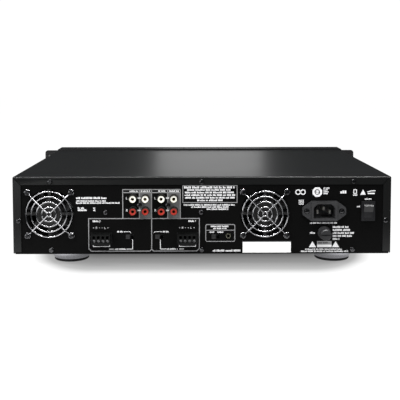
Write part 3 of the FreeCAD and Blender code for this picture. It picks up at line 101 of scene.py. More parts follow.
def noise(tools, scale, detail=3.0, stretch=None):
    """A noise texture, stretched along an axis if asked."""
    tree, _, place = tools
    if stretch:
        mapping = tree.nodes.new("ShaderNodeMapping")
        mapping.inputs["Scale"].default_value = stretch
        tree.links.new(place, mapping.inputs["Vector"])
        place = mapping.outputs["Vector"]
    texture = tree.nodes.new("ShaderNodeTexNoise")
    texture.inputs["Scale"].default_value = scale
    texture.inputs["Detail"].default_value = detail
    tree.links.new(place, texture.inputs["Vector"])
    return texture.outputs["Fac"]


def spread(tools, value, low, high):
    """Map a noise value to a range. Noise seldom leaves the middle of its own range."""
    usual_low, usual_high = 0.3, 0.7
    tree = tools[0]
    ranged = tree.nodes.new("ShaderNodeMapRange")
    ranged.inputs["From Min"].default_value = usual_low
    ranged.inputs["From Max"].default_value = usual_high
    ranged.inputs["To Min"].default_value = low
    ranged.inputs["To Max"].default_value = high
    tree.links.new(value, ranged.inputs["Value"])
    return ranged.outputs["Result"]


def vary_color(tools, value, low, high):
    """Blend the base colour between two colours by a noise value."""
    tree, shader, _ = tools
    ramp = tree.nodes.new("ShaderNodeValToRGB")
    ramp.color_ramp.elements[0].position = 0.35
    ramp.color_ramp.elements[1].position = 0.65
    ramp.color_ramp.elements[0].color = (*low, 1)
    ramp.color_ramp.elements[1].color = (*high, 1)
    tree.links.new(value, ramp.inputs["Fac"])
    tree.links.new(ramp.outputs["Color"], shader.inputs["Base Color"])


def vary_roughness(tools, value, low, high):
    """Let the roughness follow a noise value between two levels."""
    tree, shader, _ = tools
    tree.links.new(spread(tools, value, low, high), shader.inputs["Roughness"])


def bump(tools, value, strength, depth):
    """Raise the surface by a value, with a depth in metres."""
    tree, shader, _ = tools
    node = tree.nodes.new("ShaderNodeBump")
    node.inputs["Strength"].default_value = strength
    node.inputs["Distance"].default_value = depth
    tree.links.new(value, node.inputs["Height"])
    tree.links.new(node.outputs["Normal"], shader.inputs["Normal"])


def scaled(color, factor):
    """A colour made darker or lighter."""
    return tuple(part * factor for part in color)


def powder_coat(name, color, roughness, specular, grain=0.25):
    """Painted sheet: fine orange peel, faint dust and rubbed patches."""
    material, tools = new_material(name, color, roughness, specular=specular)
    vary_color(tools, noise(tools, 9), scaled(color, 0.94), scaled(color, 1.06))
    vary_roughness(tools, noise(tools, 5, 2), roughness - 0.012, roughness + 0.012)
    bump(tools, noise(tools, 1500, 2), grain, GRAIN_DEPTH)
    return material


def moulded(name, color, roughness, grain=900, strength=0.3, specular=0.5):
    """Moulded plastic: spark-eroded grain and slight flow marks."""
    material, tools = new_material(name, color, roughness, specular=specular)
    vary_color(tools, noise(tools, 60), scaled(color, 0.9), scaled(color, 1.12))
    vary_roughness(tools, noise(tools, 120), roughness - 0.05, roughness + 0.06)
    bump(tools, noise(tools, grain, 2), strength, GRAIN_DEPTH)
    return material


def plated(name, color, roughness, haze=0.06):
    """Bright plating: faint waves and hazy spots."""
    material, tools = new_material(name, color, roughness, metallic=1.0)
    vary_color(tools, noise(tools, 90), scaled(color, 0.9), color)
    vary_roughness(tools, noise(tools, 160), roughness, roughness + haze)
    bump(tools, noise(tools, 350, 2), 0.15, 0.02 * MM)
    return material


def brushed(name, color, roughness, stretch, metallic=1.0):
    """Metal with fine draw lines along one axis."""
    material, tools = new_material(name, color, roughness, metallic=metallic)
    lines = noise(tools, 400, 3, stretch)
    vary_color(tools, lines, scaled(color, 0.75), color)
    vary_roughness(tools, lines, roughness - 0.06, roughness + 0.08)
    bump(tools, lines, 0.3, GRAIN_DEPTH)
    return material


def printed_ink(name, color):
    """Silk-screened ink: a soft film with thin spots."""
    material, tools = new_material(name, color, 0.55, specular=0.3)
    vary_color(tools, noise(tools, 500), scaled(color, 0.88), color)
    bump(tools, noise(tools, 2500, 2), 0.2, FINE_DEPTH)
    return material


def paper(name, color):
    """Label stock: matt, with fibres."""
    material, tools = new_material(name, color, 0.6, specular=0.25)
    vary_color(tools, noise(tools, 300), scaled(color, 0.96), color)
    bump(tools, noise(tools, 2000, 4), 0.2, FINE_DEPTH)
    return material


def circuit_board(name):
    """Solder resist over copper tracks that show as lighter lines."""
    dark, light = (0.01, 0.07, 0.025), (0.02, 0.13, 0.05)
    material, tools = new_material(name, dark, 0.35)
    tree, _, place = tools
    tracks = tree.nodes.new("ShaderNodeTexBrick")
    tracks.inputs["Scale"].default_value = 60
    tracks.inputs["Mortar Size"].default_value = 0.08
    tree.links.new(place, tracks.inputs["Vector"])
    vary_color(tools, tracks.outputs["Fac"], dark, light)
    bump(tools, tracks.outputs["Fac"], 0.4, GRAIN_DEPTH)
    return material


def wound_tape(name):
    """Polyester tape over a toroidal winding: overlapping radial wraps."""
    dark, light = (0.1, 0.075, 0.012), (0.3, 0.22, 0.04)
    material, tools = new_material(name, light, 0.35)
    wraps = noise(tools, 55, 4, (1, 1, 0.15))
    vary_color(tools, wraps, dark, light)
    bump(tools, wraps, 0.6, 0.3 * MM)
    return material


def clear_plastic(name, color):
    """See-through plastic or glass with a faint waviness."""
    material, tools = new_material(name, color, 0.12)
    tools[1].inputs["Transmission Weight"].default_value = 0.6
    tools[1].inputs["IOR"].default_value = 1.49
    bump(tools, noise(tools, 700), 0.1, FINE_DEPTH)
    return material


def make_finishes():
    """One material for each finish, by name."""
    return {
        "cover": powder_coat("cover_powder_coat", (0.0058, 0.006, 0.006), 0.3, 0.34, 0.06),
        "panel": powder_coat("panel_powder_coat", (0.0022, 0.0022, 0.0022), 0.5, 0.06),
        "pan": powder_coat("pan_powder_coat", (0.01, 0.01, 0.0105), 0.5, 0.3),
        "bezel": powder_coat("bezel_paint", (0.007, 0.007, 0.0075), 0.4, 0.4, 0.06),
        "black_screw": plated("black_oxide", (0.12, 0.12, 0.125), 0.2),
        "foot_silver": brushed("foot_silver", (0.52, 0.52, 0.55), 0.2, (1, 1, 14), 0.88),
        "rubber": moulded("foot_rubber", (0.006, 0.006, 0.007), 0.6, 1400, 0.5, 0.3),
        "fan": moulded("fan_plastic", (0.024, 0.024, 0.0245), 0.2, 700, 0.12),
        "chrome": plated("guard_chrome", (0.72, 0.72, 0.74), 0.07, 0.03),
        "socket": moulded("socket_plastic", (0.012, 0.012, 0.012), 0.4),
        "nickel": plated("nickel_plating", (0.5, 0.48, 0.38), 0.18),
        "white_insert": moulded("white_insert", (0.8, 0.79, 0.72), 0.35, 1200, 0.15),
        "red_insert": moulded("red_insert", (0.33, 0.022, 0.014), 0.32, 1200, 0.15),
        "pin": plated("pin_plating", (0.8, 0.78, 0.72), 0.34),
        "brass": plated("contact_plating", (0.55, 0.4, 0.16), 0.3),
        "terminal": moulded("terminal_plastic", (0.003, 0.0032, 0.0032), 0.42, 900, 0.3, 0.22),
        "steel": brushed("zinc_steel", (0.5, 0.5, 0.51), 0.3, (1, 6, 1)),
        "switch": moulded("switch_plastic", (0.02, 0.02, 0.021), 0.38),
        "inlet": moulded("inlet_plastic", (0.03, 0.03, 0.0315), 0.28, 1100, 0.2),
        "fuse": moulded("fuse_plastic", (0.02, 0.02, 0.021), 0.36),
        "glass": clear_plastic("fuse_glass", (0.8, 0.82, 0.84)),
        "rocker": moulded("rocker_plastic", (0.009, 0.009, 0.01), 0.33, 1300, 0.2),
        "label": paper("label_paper", (0.9, 0.9, 0.9)),
        "board": circuit_board("board_laminate"),
        "heatsink": brushed("black_anodised", (0.03, 0.03, 0.032), 0.42, (8, 1, 8), 0.6),
        "epoxy": moulded("transistor_epoxy", (0.015, 0.015, 0.015), 0.5),
        "winding": wound_tape("transformer_tape"),
        "can": moulded("capacitor_sleeve", (0.012, 0.014, 0.03), 0.3),
        "lens": clear_plastic("lens_plastic", (0.55, 0.6, 0.66)),
        "ink": printed_ink("white_ink", (0.7, 0.7, 0.71)),
        "faint_ink": printed_ink("thin_white_ink", (0.24, 0.24, 0.245)),
        "grey_ink": printed_ink("grey_ink", (0.09, 0.09, 0.092)),
        "shadow_ink": printed_ink("dark_ink", (0.03, 0.03, 0.03)),
    }


# Finish of each CAD node. A key that ends in an underscore stands for every node that starts with it.
NODE_FINISH = {
    "top_cover": "cover",
    "rear_panel": "panel",
    "chassis_base": "pan",
    "front_bezel": "bezel",
    "rack_ear_": "pan",
    "case_screws": "black_screw",
    "ear_screws": "black_screw",
    "foot_pads": "rubber",
    "foot_screws": "steel",
    "foot_": "foot_silver",
    "fan_guards": "chrome",
    "fan_screws": "black_screw",
    "fan_": "fan",
    "socket_block_": "socket",
    "socket_sleeves": "nickel",
    "socket_inserts_white": "white_insert",
    "socket_inserts_red": "red_insert",
    "socket_contacts": "brass",
    "terminal_pins": "brass",
    "terminal_": "terminal",
    "clamp_screws_": "steel",
    "zone_": "switch",
    "trigger_bushing": "nickel",
    "trigger_": "switch",
    "mains_inlet": "inlet",
    "inlet_pins": "pin",
    "inlet_screws": "black_screw",
    "fuse_link": "glass",
    "fuse_": "fuse",
    "rocker_frame": "rocker",
    "power_rocker": "rocker",
    "serial_label": "label",
    "input_board": "board",
    "amplifier_board": "board",
    "board_spacers": "brass",
    "reservoir_capacitors": "can",
    "heatsink_": "heatsink",
    "power_transistors": "epoxy",
    "toroidal_transformer": "winding",
    "transformer_clamp": "steel",
    "status_lenses": "lens",
}
# Plain mouldings and metal parts whose sharp edges get a small real radius.
SOFT_EDGES = (
    "terminal_plug_zone_1",
    "terminal_plug_zone_2",
    "zone_1_switch_knob",
    "zone_2_switch_knob",
    "trigger_switch_knob",
    "rocker_frame",
    "power_rocker",
    "mains_inlet",
    "inlet_pins",
    "fuse_cap",
)
EDGE_RADIUS = 0.18 * MM
# Faces that meet at a steeper angle than the first keep a crisp edge; the second is for soft edges.
CRISP_ANGLE = math.radians(32)
SOFT_ANGLE = math.radians(40)


def finish_of(name):
    """The finish of a CAD node: its own, or else its family's."""
    if name in NODE_FINISH:
        return NODE_FINISH[name]
    families = [key for key in NODE_FINISH if key.endswith("_") and name.startswith(key)]
    return NODE_FINISH[families[0]]


def dress_nodes(finishes):
    """Give every CAD node its finish, smooth shading and, where it suits, soft edges."""
    for name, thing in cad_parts.items():
        thing.data.materials.clear()
        thing.data.materials.append(finishes[finish_of(name)])
        for face in thing.data.polygons:
            face.use_smooth = True
        thing.data.set_sharp_from_angle(angle=CRISP_ANGLE)
        if name in SOFT_EDGES:
            bevel = thing.modifiers.new("soft_edges", "BEVEL")
            bevel.width = EDGE_RADIUS
            bevel.segments = 2
            bevel.limit_method = "ANGLE"
            bevel.angle_limit = SOFT_ANGLE


# ---------------------------------------------------------------- printing on the rear panel

def slab(outlines, low_y, thickness):
    """Vertices and faces of flat plates: closed (x, z) outlines made solid towards +Y."""
    points = []
    faces = []
    for outline in outlines:
        first = len(points)
        count = len(outline)
        points += [(x, low_y, z) for x, z in outline]
        points += [(x, low_y + thickness, z) for x, z in outline]
        faces.append([first + i for i in range(count)])
        faces.append([first + count + i for i in reversed(range(count))])
        for i in range(count):
            after = (i + 1) % count
            faces.append([first + i, first + count + i, first + count + after, first + after])
    return points, faces


def add_piece(name, points, faces, material, body="chassis", smooth=False):
    """A new mesh piece that rides on a body."""
    mesh = bpy.data.meshes.new(name)
    mesh.from_pydata([tuple(point) for point in points], [], faces)
    mesh.validate()
    mesh.update()
    fix_normals(mesh)
    mesh.materials.append(material)
    if smooth:
        for face in mesh.polygons:
            face.use_smooth = True
        mesh.set_sharp_from_angle(angle=math.radians(35))
    piece = bpy.data.objects.new(name, mesh)
    bpy.context.scene.collection.objects.link(piece)
    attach(piece, body)


def fix_normals(mesh):
    """Turn every face outwards."""
    work = bmesh.new()
    work.from_mesh(mesh)
    bmesh.ops.recalc_face_normals(work, faces=work.faces)
    work.to_mesh(mesh)
    work.free()


def rectangle(x1, z1, x2, z2):
    """Outline of a rectangle between two opposite corners, given in any order."""
    low_x, high_x = min(x1, x2), max(x1, x2)
    low_z, high_z = min(z1, z2), max(z1, z2)
    return [(low_x, low_z), (high_x, low_z), (high_x, high_z), (low_x, high_z)]


def stroke(points, width, closed=False):
    """A line of even width along points, as one quad for each stretch with mitred joins."""
    shortest_mitre = 0.35
    corners = [Vector(point) for point in points]
    count = len(corners)
    left = []
    right = []
    for i, corner in enumerate(corners):
        before = corners[i - 1] if i > 0 or closed else None
        after = corners[(i + 1) % count] if i < count - 1 or closed else None
        into = (corner - before).normalized() if before is not None else None
        out = (after - corner).normalized() if after is not None else None
        along = (into + out).normalized() if into is not None and out is not None else into or out
        side = Vector((-along.y, along.x))
        reference = into or out
        reach = width / 2 / max(shortest_mitre, side.dot(Vector((-reference.y, reference.x))))
        left.append(corner + side * reach)
        right.append(corner - side * reach)
    quads = []
    for i in range(count if closed else count - 1):
        after = (i + 1) % count
        quads.append([tuple(p) for p in (left[i], left[after], right[after], right[i])])
    return quads


def arc(x, z, radius, start, end, steps=4):
    """Points on an arc, with angles in degrees."""
    turns = [math.radians(start + (end - start) * i / steps) for i in range(steps + 1)]
    return [(x + radius * math.cos(turn), z + radius * math.sin(turn)) for turn in turns]


def polygon(x, z, radius, sides, turn=0.0):
    """Corners of a regular polygon, turned by a share of one side."""
    angles = [math.tau * (i + turn) / sides for i in range(sides)]
    return [(x + radius * math.cos(angle), z + radius * math.sin(angle)) for angle in angles]


def ring(x, z, radius, width):
    """A round ring of ink."""
    return stroke(polygon(x, z, radius, 20), width, closed=True)


def words(high_x, low_x, z, height, seed):
    """A row of letter-sized blocks that reads as a printed line at a distance and says nothing."""
    letter_gap = height * 0.17
    word_gap = height * 0.45
    least_room = height * 0.5
    draw = random.Random(seed)
    blocks = []
    x = high_x
    while x - least_room > low_x:
        letters = draw.randint(2, 8)
        for _ in range(letters):
            wide = height * draw.uniform(0.42, 0.62)
            if x - wide < low_x:
                break
            tall = height * draw.choice((1.0, 1.0, 0.72))
            blocks.append(rectangle(x, z - height / 2, x - wide, z - height / 2 + tall))
            x -= wide + letter_gap
        x -= word_gap
    return blocks


def lines_of_words(high_x, low_x, top_z, pitch, height, seed, ends):
    """Rows of blocks under one another, each ending at its own share of the width."""
    blocks = []
    for row, share in enumerate(ends):
        end = high_x - (high_x - low_x) * share
        blocks += words(high_x, end, top_z - row * pitch, height, seed + row)
    return blocks


def print_on_panel(name, outlines, finish, layer=0):
    """Ink on the rear panel's face. A higher layer lies on a lower one."""
    points, faces = slab(outlines, PANEL_Y + layer * INK_T, INK_T)
    add_piece(name, points, faces, finish)


# Strokes of the generic marks: (x, z) points as shares of the mark's height, x to the reader's right.
LETTERS = {
    "L": [[(0, 1), (0, 0), (0.6, 0)]],
    "R": [[(0, 0), (0, 1), (0.45, 1), (0.6, 0.75), (0.45, 0.5), (0, 0.5)], [(0.3, 0.5), (0.62, 0)]],
    "1": [[(0.1, 0.8), (0.35, 1), (0.35, 0)]],
    "2": [[(0, 0.8), (0.15, 1), (0.45, 1), (0.6, 0.8), (0.5, 0.5), (0, 0), (0.62, 0)]],
    "+": [[(0.3, 0.2), (0.3, 0.8)], [(0, 0.5), (0.6, 0.5)]],
    "-": [[(0, 0.5), (0.6, 0.5)]],
}


def mark(letter, high_x, low_z, height):
    """One generic terminal mark, read from behind the amplifier."""
    line_share = 0.17
    quads = []
    for points in LETTERS[letter]:
        placed = [(high_x - x * height, low_z + z * height) for x, z in points]
        quads += stroke(placed, height * line_share)
    return quads


# Printed frames round the two zones and the sockets, placed by the connectors inside them.
ZONE_TOP = SOCKETS[1].z - 16.45 * MM
ZONE_LOW = BASE_Z + 3.2 * MM
ZONE_LEFT = PLUGS[2].x + 14.5 * MM
ZONE_RIGHT = PLUGS[1].x - 13.7 * MM
DIVIDER = SWITCHES[1].x + 8.7 * MM
SOCKET_TOP = SOCKETS[1].z + 16.95 * MM
HEADER_Z = SOCKET_TOP - 3.5 * MM
SOCKET_LEFT = SOCKETS[2].x + 18.9 * MM
SOCKET_RIGHT = SOCKETS[1].x - 14.45 * MM


def print_zone_frames(finishes):
    """Lines round the two zones, with chamfered lower corners and a notch at the divider."""
    cut = 3.0 * MM
    notch = 2.2 * MM
    outline = [
        (ZONE_LEFT, ZONE_TOP),
        (ZONE_LEFT, ZONE_LOW + cut),
        (ZONE_LEFT - cut, ZONE_LOW),
        (DIVIDER + notch, ZONE_LOW),
        (DIVIDER, ZONE_LOW + notch),
        (DIVIDER - notch, ZONE_LOW),
        (ZONE_RIGHT + cut, ZONE_LOW),
        (ZONE_RIGHT, ZONE_LOW + cut),
        (ZONE_RIGHT, ZONE_TOP),
    ]
    lines = stroke(outline, INK_LINE, closed=True)
    lines.append(rectangle(DIVIDER + INK_LINE / 2, ZONE_LOW + notch, DIVIDER - INK_LINE / 2, ZONE_TOP))
    print_on_panel("print_zone_frames", lines, finishes["faint_ink"])


def print_socket_frame(finishes):
    """Table round the phono sockets: header row, four columns and the shaded output columns."""
    half = INK_LINE / 2
    columns = (SOCKET_LEFT, SOCKETS[2].x, DIVIDER, SOCKETS[1].x, SOCKET_RIGHT)
    lines = [
        rectangle(SOCKET_LEFT + half, SOCKET_TOP - half, SOCKET_RIGHT - half, SOCKET_TOP + half),
        rectangle(SOCKET_LEFT, HEADER_Z - half, SOCKET_RIGHT, HEADER_Z + half),
    ]
    for x in columns:
        lines.append(rectangle(x - half, ZONE_TOP, x + half, SOCKET_TOP))
    print_on_panel("print_socket_frame", lines, finishes["faint_ink"], layer=1)
    shades = [
        rectangle(columns[1], ZONE_TOP, columns[2], HEADER_Z),
        rectangle(columns[3], ZONE_TOP, columns[4], HEADER_Z),
    ]
    print_on_panel("print_output_shades", shades, finishes["grey_ink"])
    input_inset, output_inset = 0.42, 0.12
    z = (SOCKET_TOP + HEADER_Z) / 2
    captions = []
    for i in range(4):
        inset = (columns[i] - columns[i + 1]) * (input_inset if i % 2 == 0 else output_inset)
        low_x = columns[i + 1] + 1.4 * MM
        captions += words(columns[i] - inset, low_x, z, height=1.6 * MM, seed=30 + i)
    print_on_panel("print_socket_captions", captions, finishes["ink"], layer=2)


def print_socket_marks(finishes):
    """Left and right marks beside the inputs, and the dashes that join input to output."""
    row_z = 7.1 * MM
    letter_x = 14.9 * MM
    letter_height = 2.4 * MM
    dash_left, dash_right, dash_half = 2.0 * MM, 1.6 * MM, 0.75 * MM
    shapes = []
    for centre in SOCKETS.values():
        for letter, side in (("L", 1), ("R", -1)):
            z = centre.z + side * row_z
            shapes += mark(letter, centre.x + letter_x, z - letter_height / 2, letter_height)
            left, right = centre.x + dash_left, centre.x - dash_right
            shapes.append(rectangle(left, z - dash_half, right, z + dash_half))
    print_on_panel("print_socket_marks", shapes, finishes["ink"], layer=2)


def zone_title(zone):
    """Caption and number in the zone's upper outer corner."""
    start = ZONE_LEFT - 4.6 * MM if zone == 2 else ZONE_RIGHT + 12.6 * MM
    end = start - 6.6 * MM
    height = 2.0 * MM
    shapes = words(start, end, ZONE_TOP - 3.0 * MM, height, seed=41)
    return shapes + mark(str(zone), end - height / 2, ZONE_TOP - 4.0 * MM, height)


def polarity_marks(plug):
    """Plus, minus and channel letters in a row over the terminals."""
    pitch = 3.3 * MM
    first_x = plug.x + 9.5 * MM
    z = plug.z + 11.2 * MM
    shapes = []
    for i, letter in enumerate("+R--L+"):
        shapes += mark(letter, first_x - i * pitch, z, 2.0 * MM)
    return shapes


def upper_mode_caption(zone, switch):
    """Caption over the slide switch and the leader that hooks down to it."""
    gap = 1.0 * MM
    width = 6.6 * MM
    z = switch.z + 5.6 * MM
    if zone == 2:
        caption_x = switch.x + 14.4 * MM
        near, far = caption_x - width - gap, switch.x - 0.2 * MM
        hook_x = far - 0.9 * MM
    else:
        caption_x = switch.x - 4.2 * MM
        near, far = caption_x + gap, switch.x + 5.2 * MM
        hook_x = far + 0.9 * MM
    shapes = words(caption_x, caption_x - width, z, height=1.7 * MM, seed=43)
    return shapes + stroke([(near, z), (far, z), (hook_x, z - 1.5 * MM)], 0.6 * MM)


def lower_mode_caption(zone, switch):
    """Caption along the zone's foot, with a leader to the switch and one towards the terminals."""
    side = 1 if zone == 2 else -1
    z = ZONE_LOW + 2.4 * MM
    knob = switch.x - 3.2 * MM if zone == 2 else switch.x - 1.2 * MM
    middle = knob + side * 14.0 * MM
    half = 6.4 * MM
    shapes = stroke([(knob, switch.z - 3.4 * MM), (knob, z), (knob + side * 7 * MM, z)], 0.7 * MM)
    shapes += words(middle + half, middle - half, z, height=1.6 * MM, seed=45 + zone)
    return shapes + stroke([(middle + side * 7.6 * MM, z), (middle + side * 13 * MM, z)], 0.6 * MM)


def terminal_bracket(zone, plug):
    """Bracket under the outer terminals. Zone 2 has a small block at each end of it."""
    half = 9.3 * MM
    block_half = 0.9 * MM
    top, low = plug.z - 7.4 * MM, plug.z - 9.4 * MM
    ends = (plug.x + half, plug.x - half)
    shapes = stroke([(ends[0], top), (ends[0], low), (ends[1], low), (ends[1], top)], 0.8 * MM)
    if zone == 2:
        for x in ends:
            shapes.append(rectangle(x - block_half, top + 0.2 * MM, x + block_half, top + 1.4 * MM))
    return shapes


def print_zone_marks(zone, finishes):
    """Title, polarity marks, mode captions and terminal bracket of one zone."""
    shapes = zone_title(zone)
    shapes += polarity_marks(PLUGS[zone])
    shapes += upper_mode_caption(zone, SWITCHES[zone])
    shapes += lower_mode_caption(zone, SWITCHES[zone])
    shapes += terminal_bracket(zone, PLUGS[zone])
    print_on_panel(f"print_zone_{zone}_marks", shapes, finishes["ink"], layer=1)


def print_notices(finishes):
    """Block of small print left of the sockets, with a two-column table under it."""
    left = SOCKETS[2].x + 72 * MM
    title_z = SOCKETS[2].z + 7.3 * MM
    text_z = SOCKETS[2].z + 3.9 * MM
    table_z = SOCKETS[2].z - 4.1 * MM
    table = {"top_z": table_z, "pitch": 2.6 * MM, "height": 1.9 * MM}
    shapes = words(left, left - 35 * MM, title_z, height=2.3 * MM, seed=51)
    shapes += lines_of_words(left, left - 50.4 * MM, text_z, 2.35 * MM, 1.6 * MM, seed=52, ends=(0.68, 1.0))
    shapes += lines_of_words(left - 1.8 * MM, left - 14 * MM, seed=55, ends=(0.7, 1.0), **table)
    shapes += lines_of_words(left - 19.4 * MM, left - 22.6 * MM, seed=57, ends=(1.0, 1.0), **table)
    print_on_panel("print_notices", shapes, finishes["ink"])


def print_rating_box(finishes):
    """Outlined rating box with rows of small print, and three lines under it."""
    high_x = SOCKET_RIGHT - 2.9 * MM
    low_x = high_x - 62.0 * MM
    top = PANEL_TOP - 8.4 * MM
    low = top - 19.5 * MM
    box = [(high_x, top), (high_x, low), (low_x, low), (low_x, top)]
    print_on_panel("print_rating_box", stroke(box, 0.8 * MM, closed=True), finishes["faint_ink"])
    inner_high, inner_low = high_x - 1.4 * MM, low_x + 1.6 * MM
    title = words(inner_high, inner_low, top - 2.0 * MM, height=2.5 * MM, seed=61)
    print_on_panel("print_rating_title", title, finishes["ink"])
    # First row and pitch of the two blocks, and how far each row starts and ends inside, in millimetres.
    boxed_first, boxed_pitch = 4.9, 3.0
    lower_first, lower_pitch = 2.7, 2.45
    boxed_insets = ((3.6, 4.0), (1.0, 2.0), (0.6, 0.2), (1.0, 1.0), (15.0, 14.0))
    lower_insets = ((-0.4, 0.4), (8.0, 8.0), (26.0, 8.4))
    rows = []
    for i, (start, end) in enumerate(boxed_insets):
        z = top - (boxed_first + boxed_pitch * i) * MM
        rows += words(inner_high - start * MM, inner_low + end * MM, z, height=2.0 * MM, seed=62 + i)
    for i, (start, end) in enumerate(lower_insets):
        z = low - (lower_first + lower_pitch * i) * MM
        rows += words(inner_high - start * MM, inner_low + end * MM, z, height=1.7 * MM, seed=71 + i)
    print_on_panel("print_rating_rows", rows, finishes["ink"])


def print_trigger_box(finishes):
    """Rounded box round the trigger switch and jack, with a header and a caption row."""
    high_x, low_x = TRIGGER.x + 11.2 * MM, JACK.x - 7.5 * MM
    top, low = TRIGGER.z + 13.7 * MM, TRIGGER.z - 5.8 * MM
    r = 1.6 * MM
    corners = (
        arc(high_x - r, top - r, r, 0, 90)
        + arc(low_x + r, top - r, r, 90, 180)
        + arc(low_x + r, low + r, r, 180, 270)
        + arc(high_x - r, low + r, r, 270, 360)
    )
    header_z = top - 6.6 * MM
    line_half = 0.4 * MM
    lines = stroke(corners, 0.85 * MM, closed=True)
    lines.append(rectangle(high_x, header_z - line_half, low_x, header_z + line_half))
    print_on_panel("print_trigger_box", lines, finishes["faint_ink"])
    middle = (high_x + low_x) / 2
    caption_z = header_z - 2.2 * MM
    shapes = words(middle + 11.0 * MM, middle - 11.0 * MM, top - 2.1 * MM, height=1.7 * MM, seed=81)
    shapes += words(middle + 8.0 * MM, middle - 8.0 * MM, top - 4.5 * MM, height=1.7 * MM, seed=82)
    shapes += words(high_x - 4.6 * MM, high_x - 10.0 * MM, caption_z, height=1.6 * MM, seed=83)
    shapes += words(high_x - 13.4 * MM, high_x - 20.4 * MM, caption_z, height=1.6 * MM, seed=84)
    print_on_panel("print_trigger_words", shapes, finishes["ink"])


def linked_rings(x, z):
    """Two rings side by side."""
    shapes = []
    for ring_x in (x + 2.8 * MM, x - 2.8 * MM):
        shapes += ring(ring_x, z, 2.6 * MM, 1.1 * MM)
    return shapes


def framed_plate(x, z):
    """A small upright frame over a bar."""
    frame_half, bar_half = 1.6 * MM, 2.5 * MM
    frame_line = rectangle(x - frame_half, z - frame_half, x + frame_half, z + 2.6 * MM)
    bar = rectangle(x - bar_half, z - 4.2 * MM, x + bar_half, z - 3.0 * MM)
    return stroke(frame_line, 0.9 * MM, closed=True) + [bar]


def blank_triangle(x, z, half_width, height):
    """A solid triangle on a level foot."""
    return [(x - half_width, z), (x + half_width, z), (x, z + height)]


def bar_and_sweep(x, z):
    """A bar with a bent line over it."""
    half = 4.0 * MM
    sweep = [(x + 4.4 * MM, z), (x, z + 1.2 * MM), (x - 5.0 * MM, z + 1.4 * MM)]
    return [rectangle(x - half, z - 2.4 * MM, x + half, z - 1.0 * MM)] + stroke(sweep, 1.0 * MM)


def nested_squares(x, z):
    """A square outline inside another."""
    shapes = []
    for half in (2.4 * MM, 1.1 * MM):
        shapes += stroke(rectangle(x - half, z - half, x + half, z + half), 0.6 * MM, closed=True)
    return shapes


def print_marks_row(finishes):
    """Generic blank shapes where approval marks stand, above the mains inlet."""
    x = INLET.x
    z = PANEL_TOP - 16.0 * MM
    octagon_x = x + 7.8 * MM
    text_x, text_z = x + 0.8 * MM, z + 4.6 * MM
    ends = (1, 0.7, 0.9, 0.7)
    shapes = linked_rings(x + 27.0 * MM, z)
    shapes.append(polygon(octagon_x, z, 5.9 * MM, 8, turn=0.5))
    shapes += lines_of_words(text_x, x - 6.4 * MM, text_z, 2.1 * MM, 1.5 * MM, seed=91, ends=ends)
    shapes += words(x - 18.6 * MM, x - 26.4 * MM, z, height=3.4 * MM, seed=95)
    shapes += framed_plate(x - 35.6 * MM, z)
    shapes.append(blank_triangle(x - 44.6 * MM, z - 3.2 * MM, 3.2 * MM, 6.0 * MM))
    shapes += bar_and_sweep(x - 54.0 * MM, z)
    shapes += nested_squares(x + 26.1 * MM, INLET.z + 10.0 * MM)
    print_on_panel("print_blank_marks", shapes, finishes["ink"])
    dark = ring(octagon_x, z, 2.7 * MM, 1.0 * MM)
    dark += words(octagon_x + 2.4 * MM, octagon_x - 2.2 * MM, z, height=1.2 * MM, seed=97)
    print_on_panel("print_octagon_centre", dark, finishes["shadow_ink"], layer=1)


def print_mains_words(finishes):
    """Captions round the mains inlet, the fuse, the power rocker and the serial label."""
    fuse_x = FUSE.x - 9.8 * MM
    fuse_z = FUSE.z + 6.6 * MM
    ends = (0.77, 0.82, 1.0, 0.95, 0.36)
    label_x = LABEL_HIGH.x + 2.6 * MM
    shapes = words(INLET.x + 15.9 * MM, INLET.x - 17.1 * MM, INLET.z - 14.0 * MM, height=1.7 * MM, seed=101)
    shapes += words(FUSE.x + 16.4 * MM, FUSE.x + 9.6 * MM, FUSE.z, height=2.1 * MM, seed=103)
    shapes += lines_of_words(fuse_x, fuse_x - 24.4 * MM, fuse_z, 3.45 * MM, 2.1 * MM, seed=105, ends=ends)
    shapes += words(ROCKER.x + 3.8 * MM, ROCKER.x - 3.8 * MM, ROCKER.z + 13.8 * MM, height=1.6 * MM, seed=111)
    shapes += words(ROCKER.x + 12.6 * MM, ROCKER.x + 8.4 * MM, ROCKER.z + 5.2 * MM, height=1.7 * MM, seed=112)
    shapes += words(label_x + 31.6 * MM, label_x, LABEL_LOW.z + 2.4 * MM, height=2.3 * MM, seed=113)
    print_on_panel("print_mains_words", shapes, finishes["ink"])


def print_caution_strip(finishes):
    """Two blank triangles with a shaded plate between them, over two rows of small print."""
    z = FUSE.z - 16.8 * MM
    shade_z = z + 3.0 * MM
    shapes = []
    for x in (FUSE.x + 13.4 * MM, FUSE.x - 13.2 * MM):
        shapes.append(blank_triangle(x, z, 4.2 * MM, 6.9 * MM))
    plate_high, plate_low = FUSE.x + 8.1 * MM, FUSE.x - 8.6 * MM
    shapes.append(rectangle(plate_high, z, plate_low, shade_z))
    shapes += words(FUSE.x + 21.8 * MM, FUSE.x - 21.8 * MM, z - 2.3 * MM, height=1.5 * MM, seed=121)
    shapes += words(FUSE.x + 26.6 * MM, FUSE.x - 27.8 * MM, z - 4.7 * MM, height=1.7 * MM, seed=122)
    print_on_panel("print_caution_strip", shapes, finishes["ink"])
    shade = [rectangle(plate_high, shade_z, plate_low, z + 7.2 * MM)]
    print_on_panel("print_caution_shade", shade, finishes["faint_ink"])
    margin = 1.4 * MM
    dark = words(plate_high - margin, plate_low + margin, z + 5.1 * MM, height=1.7 * MM, seed=124)
    print_on_panel("print_caution_row", dark, finishes["shadow_ink"], layer=1)


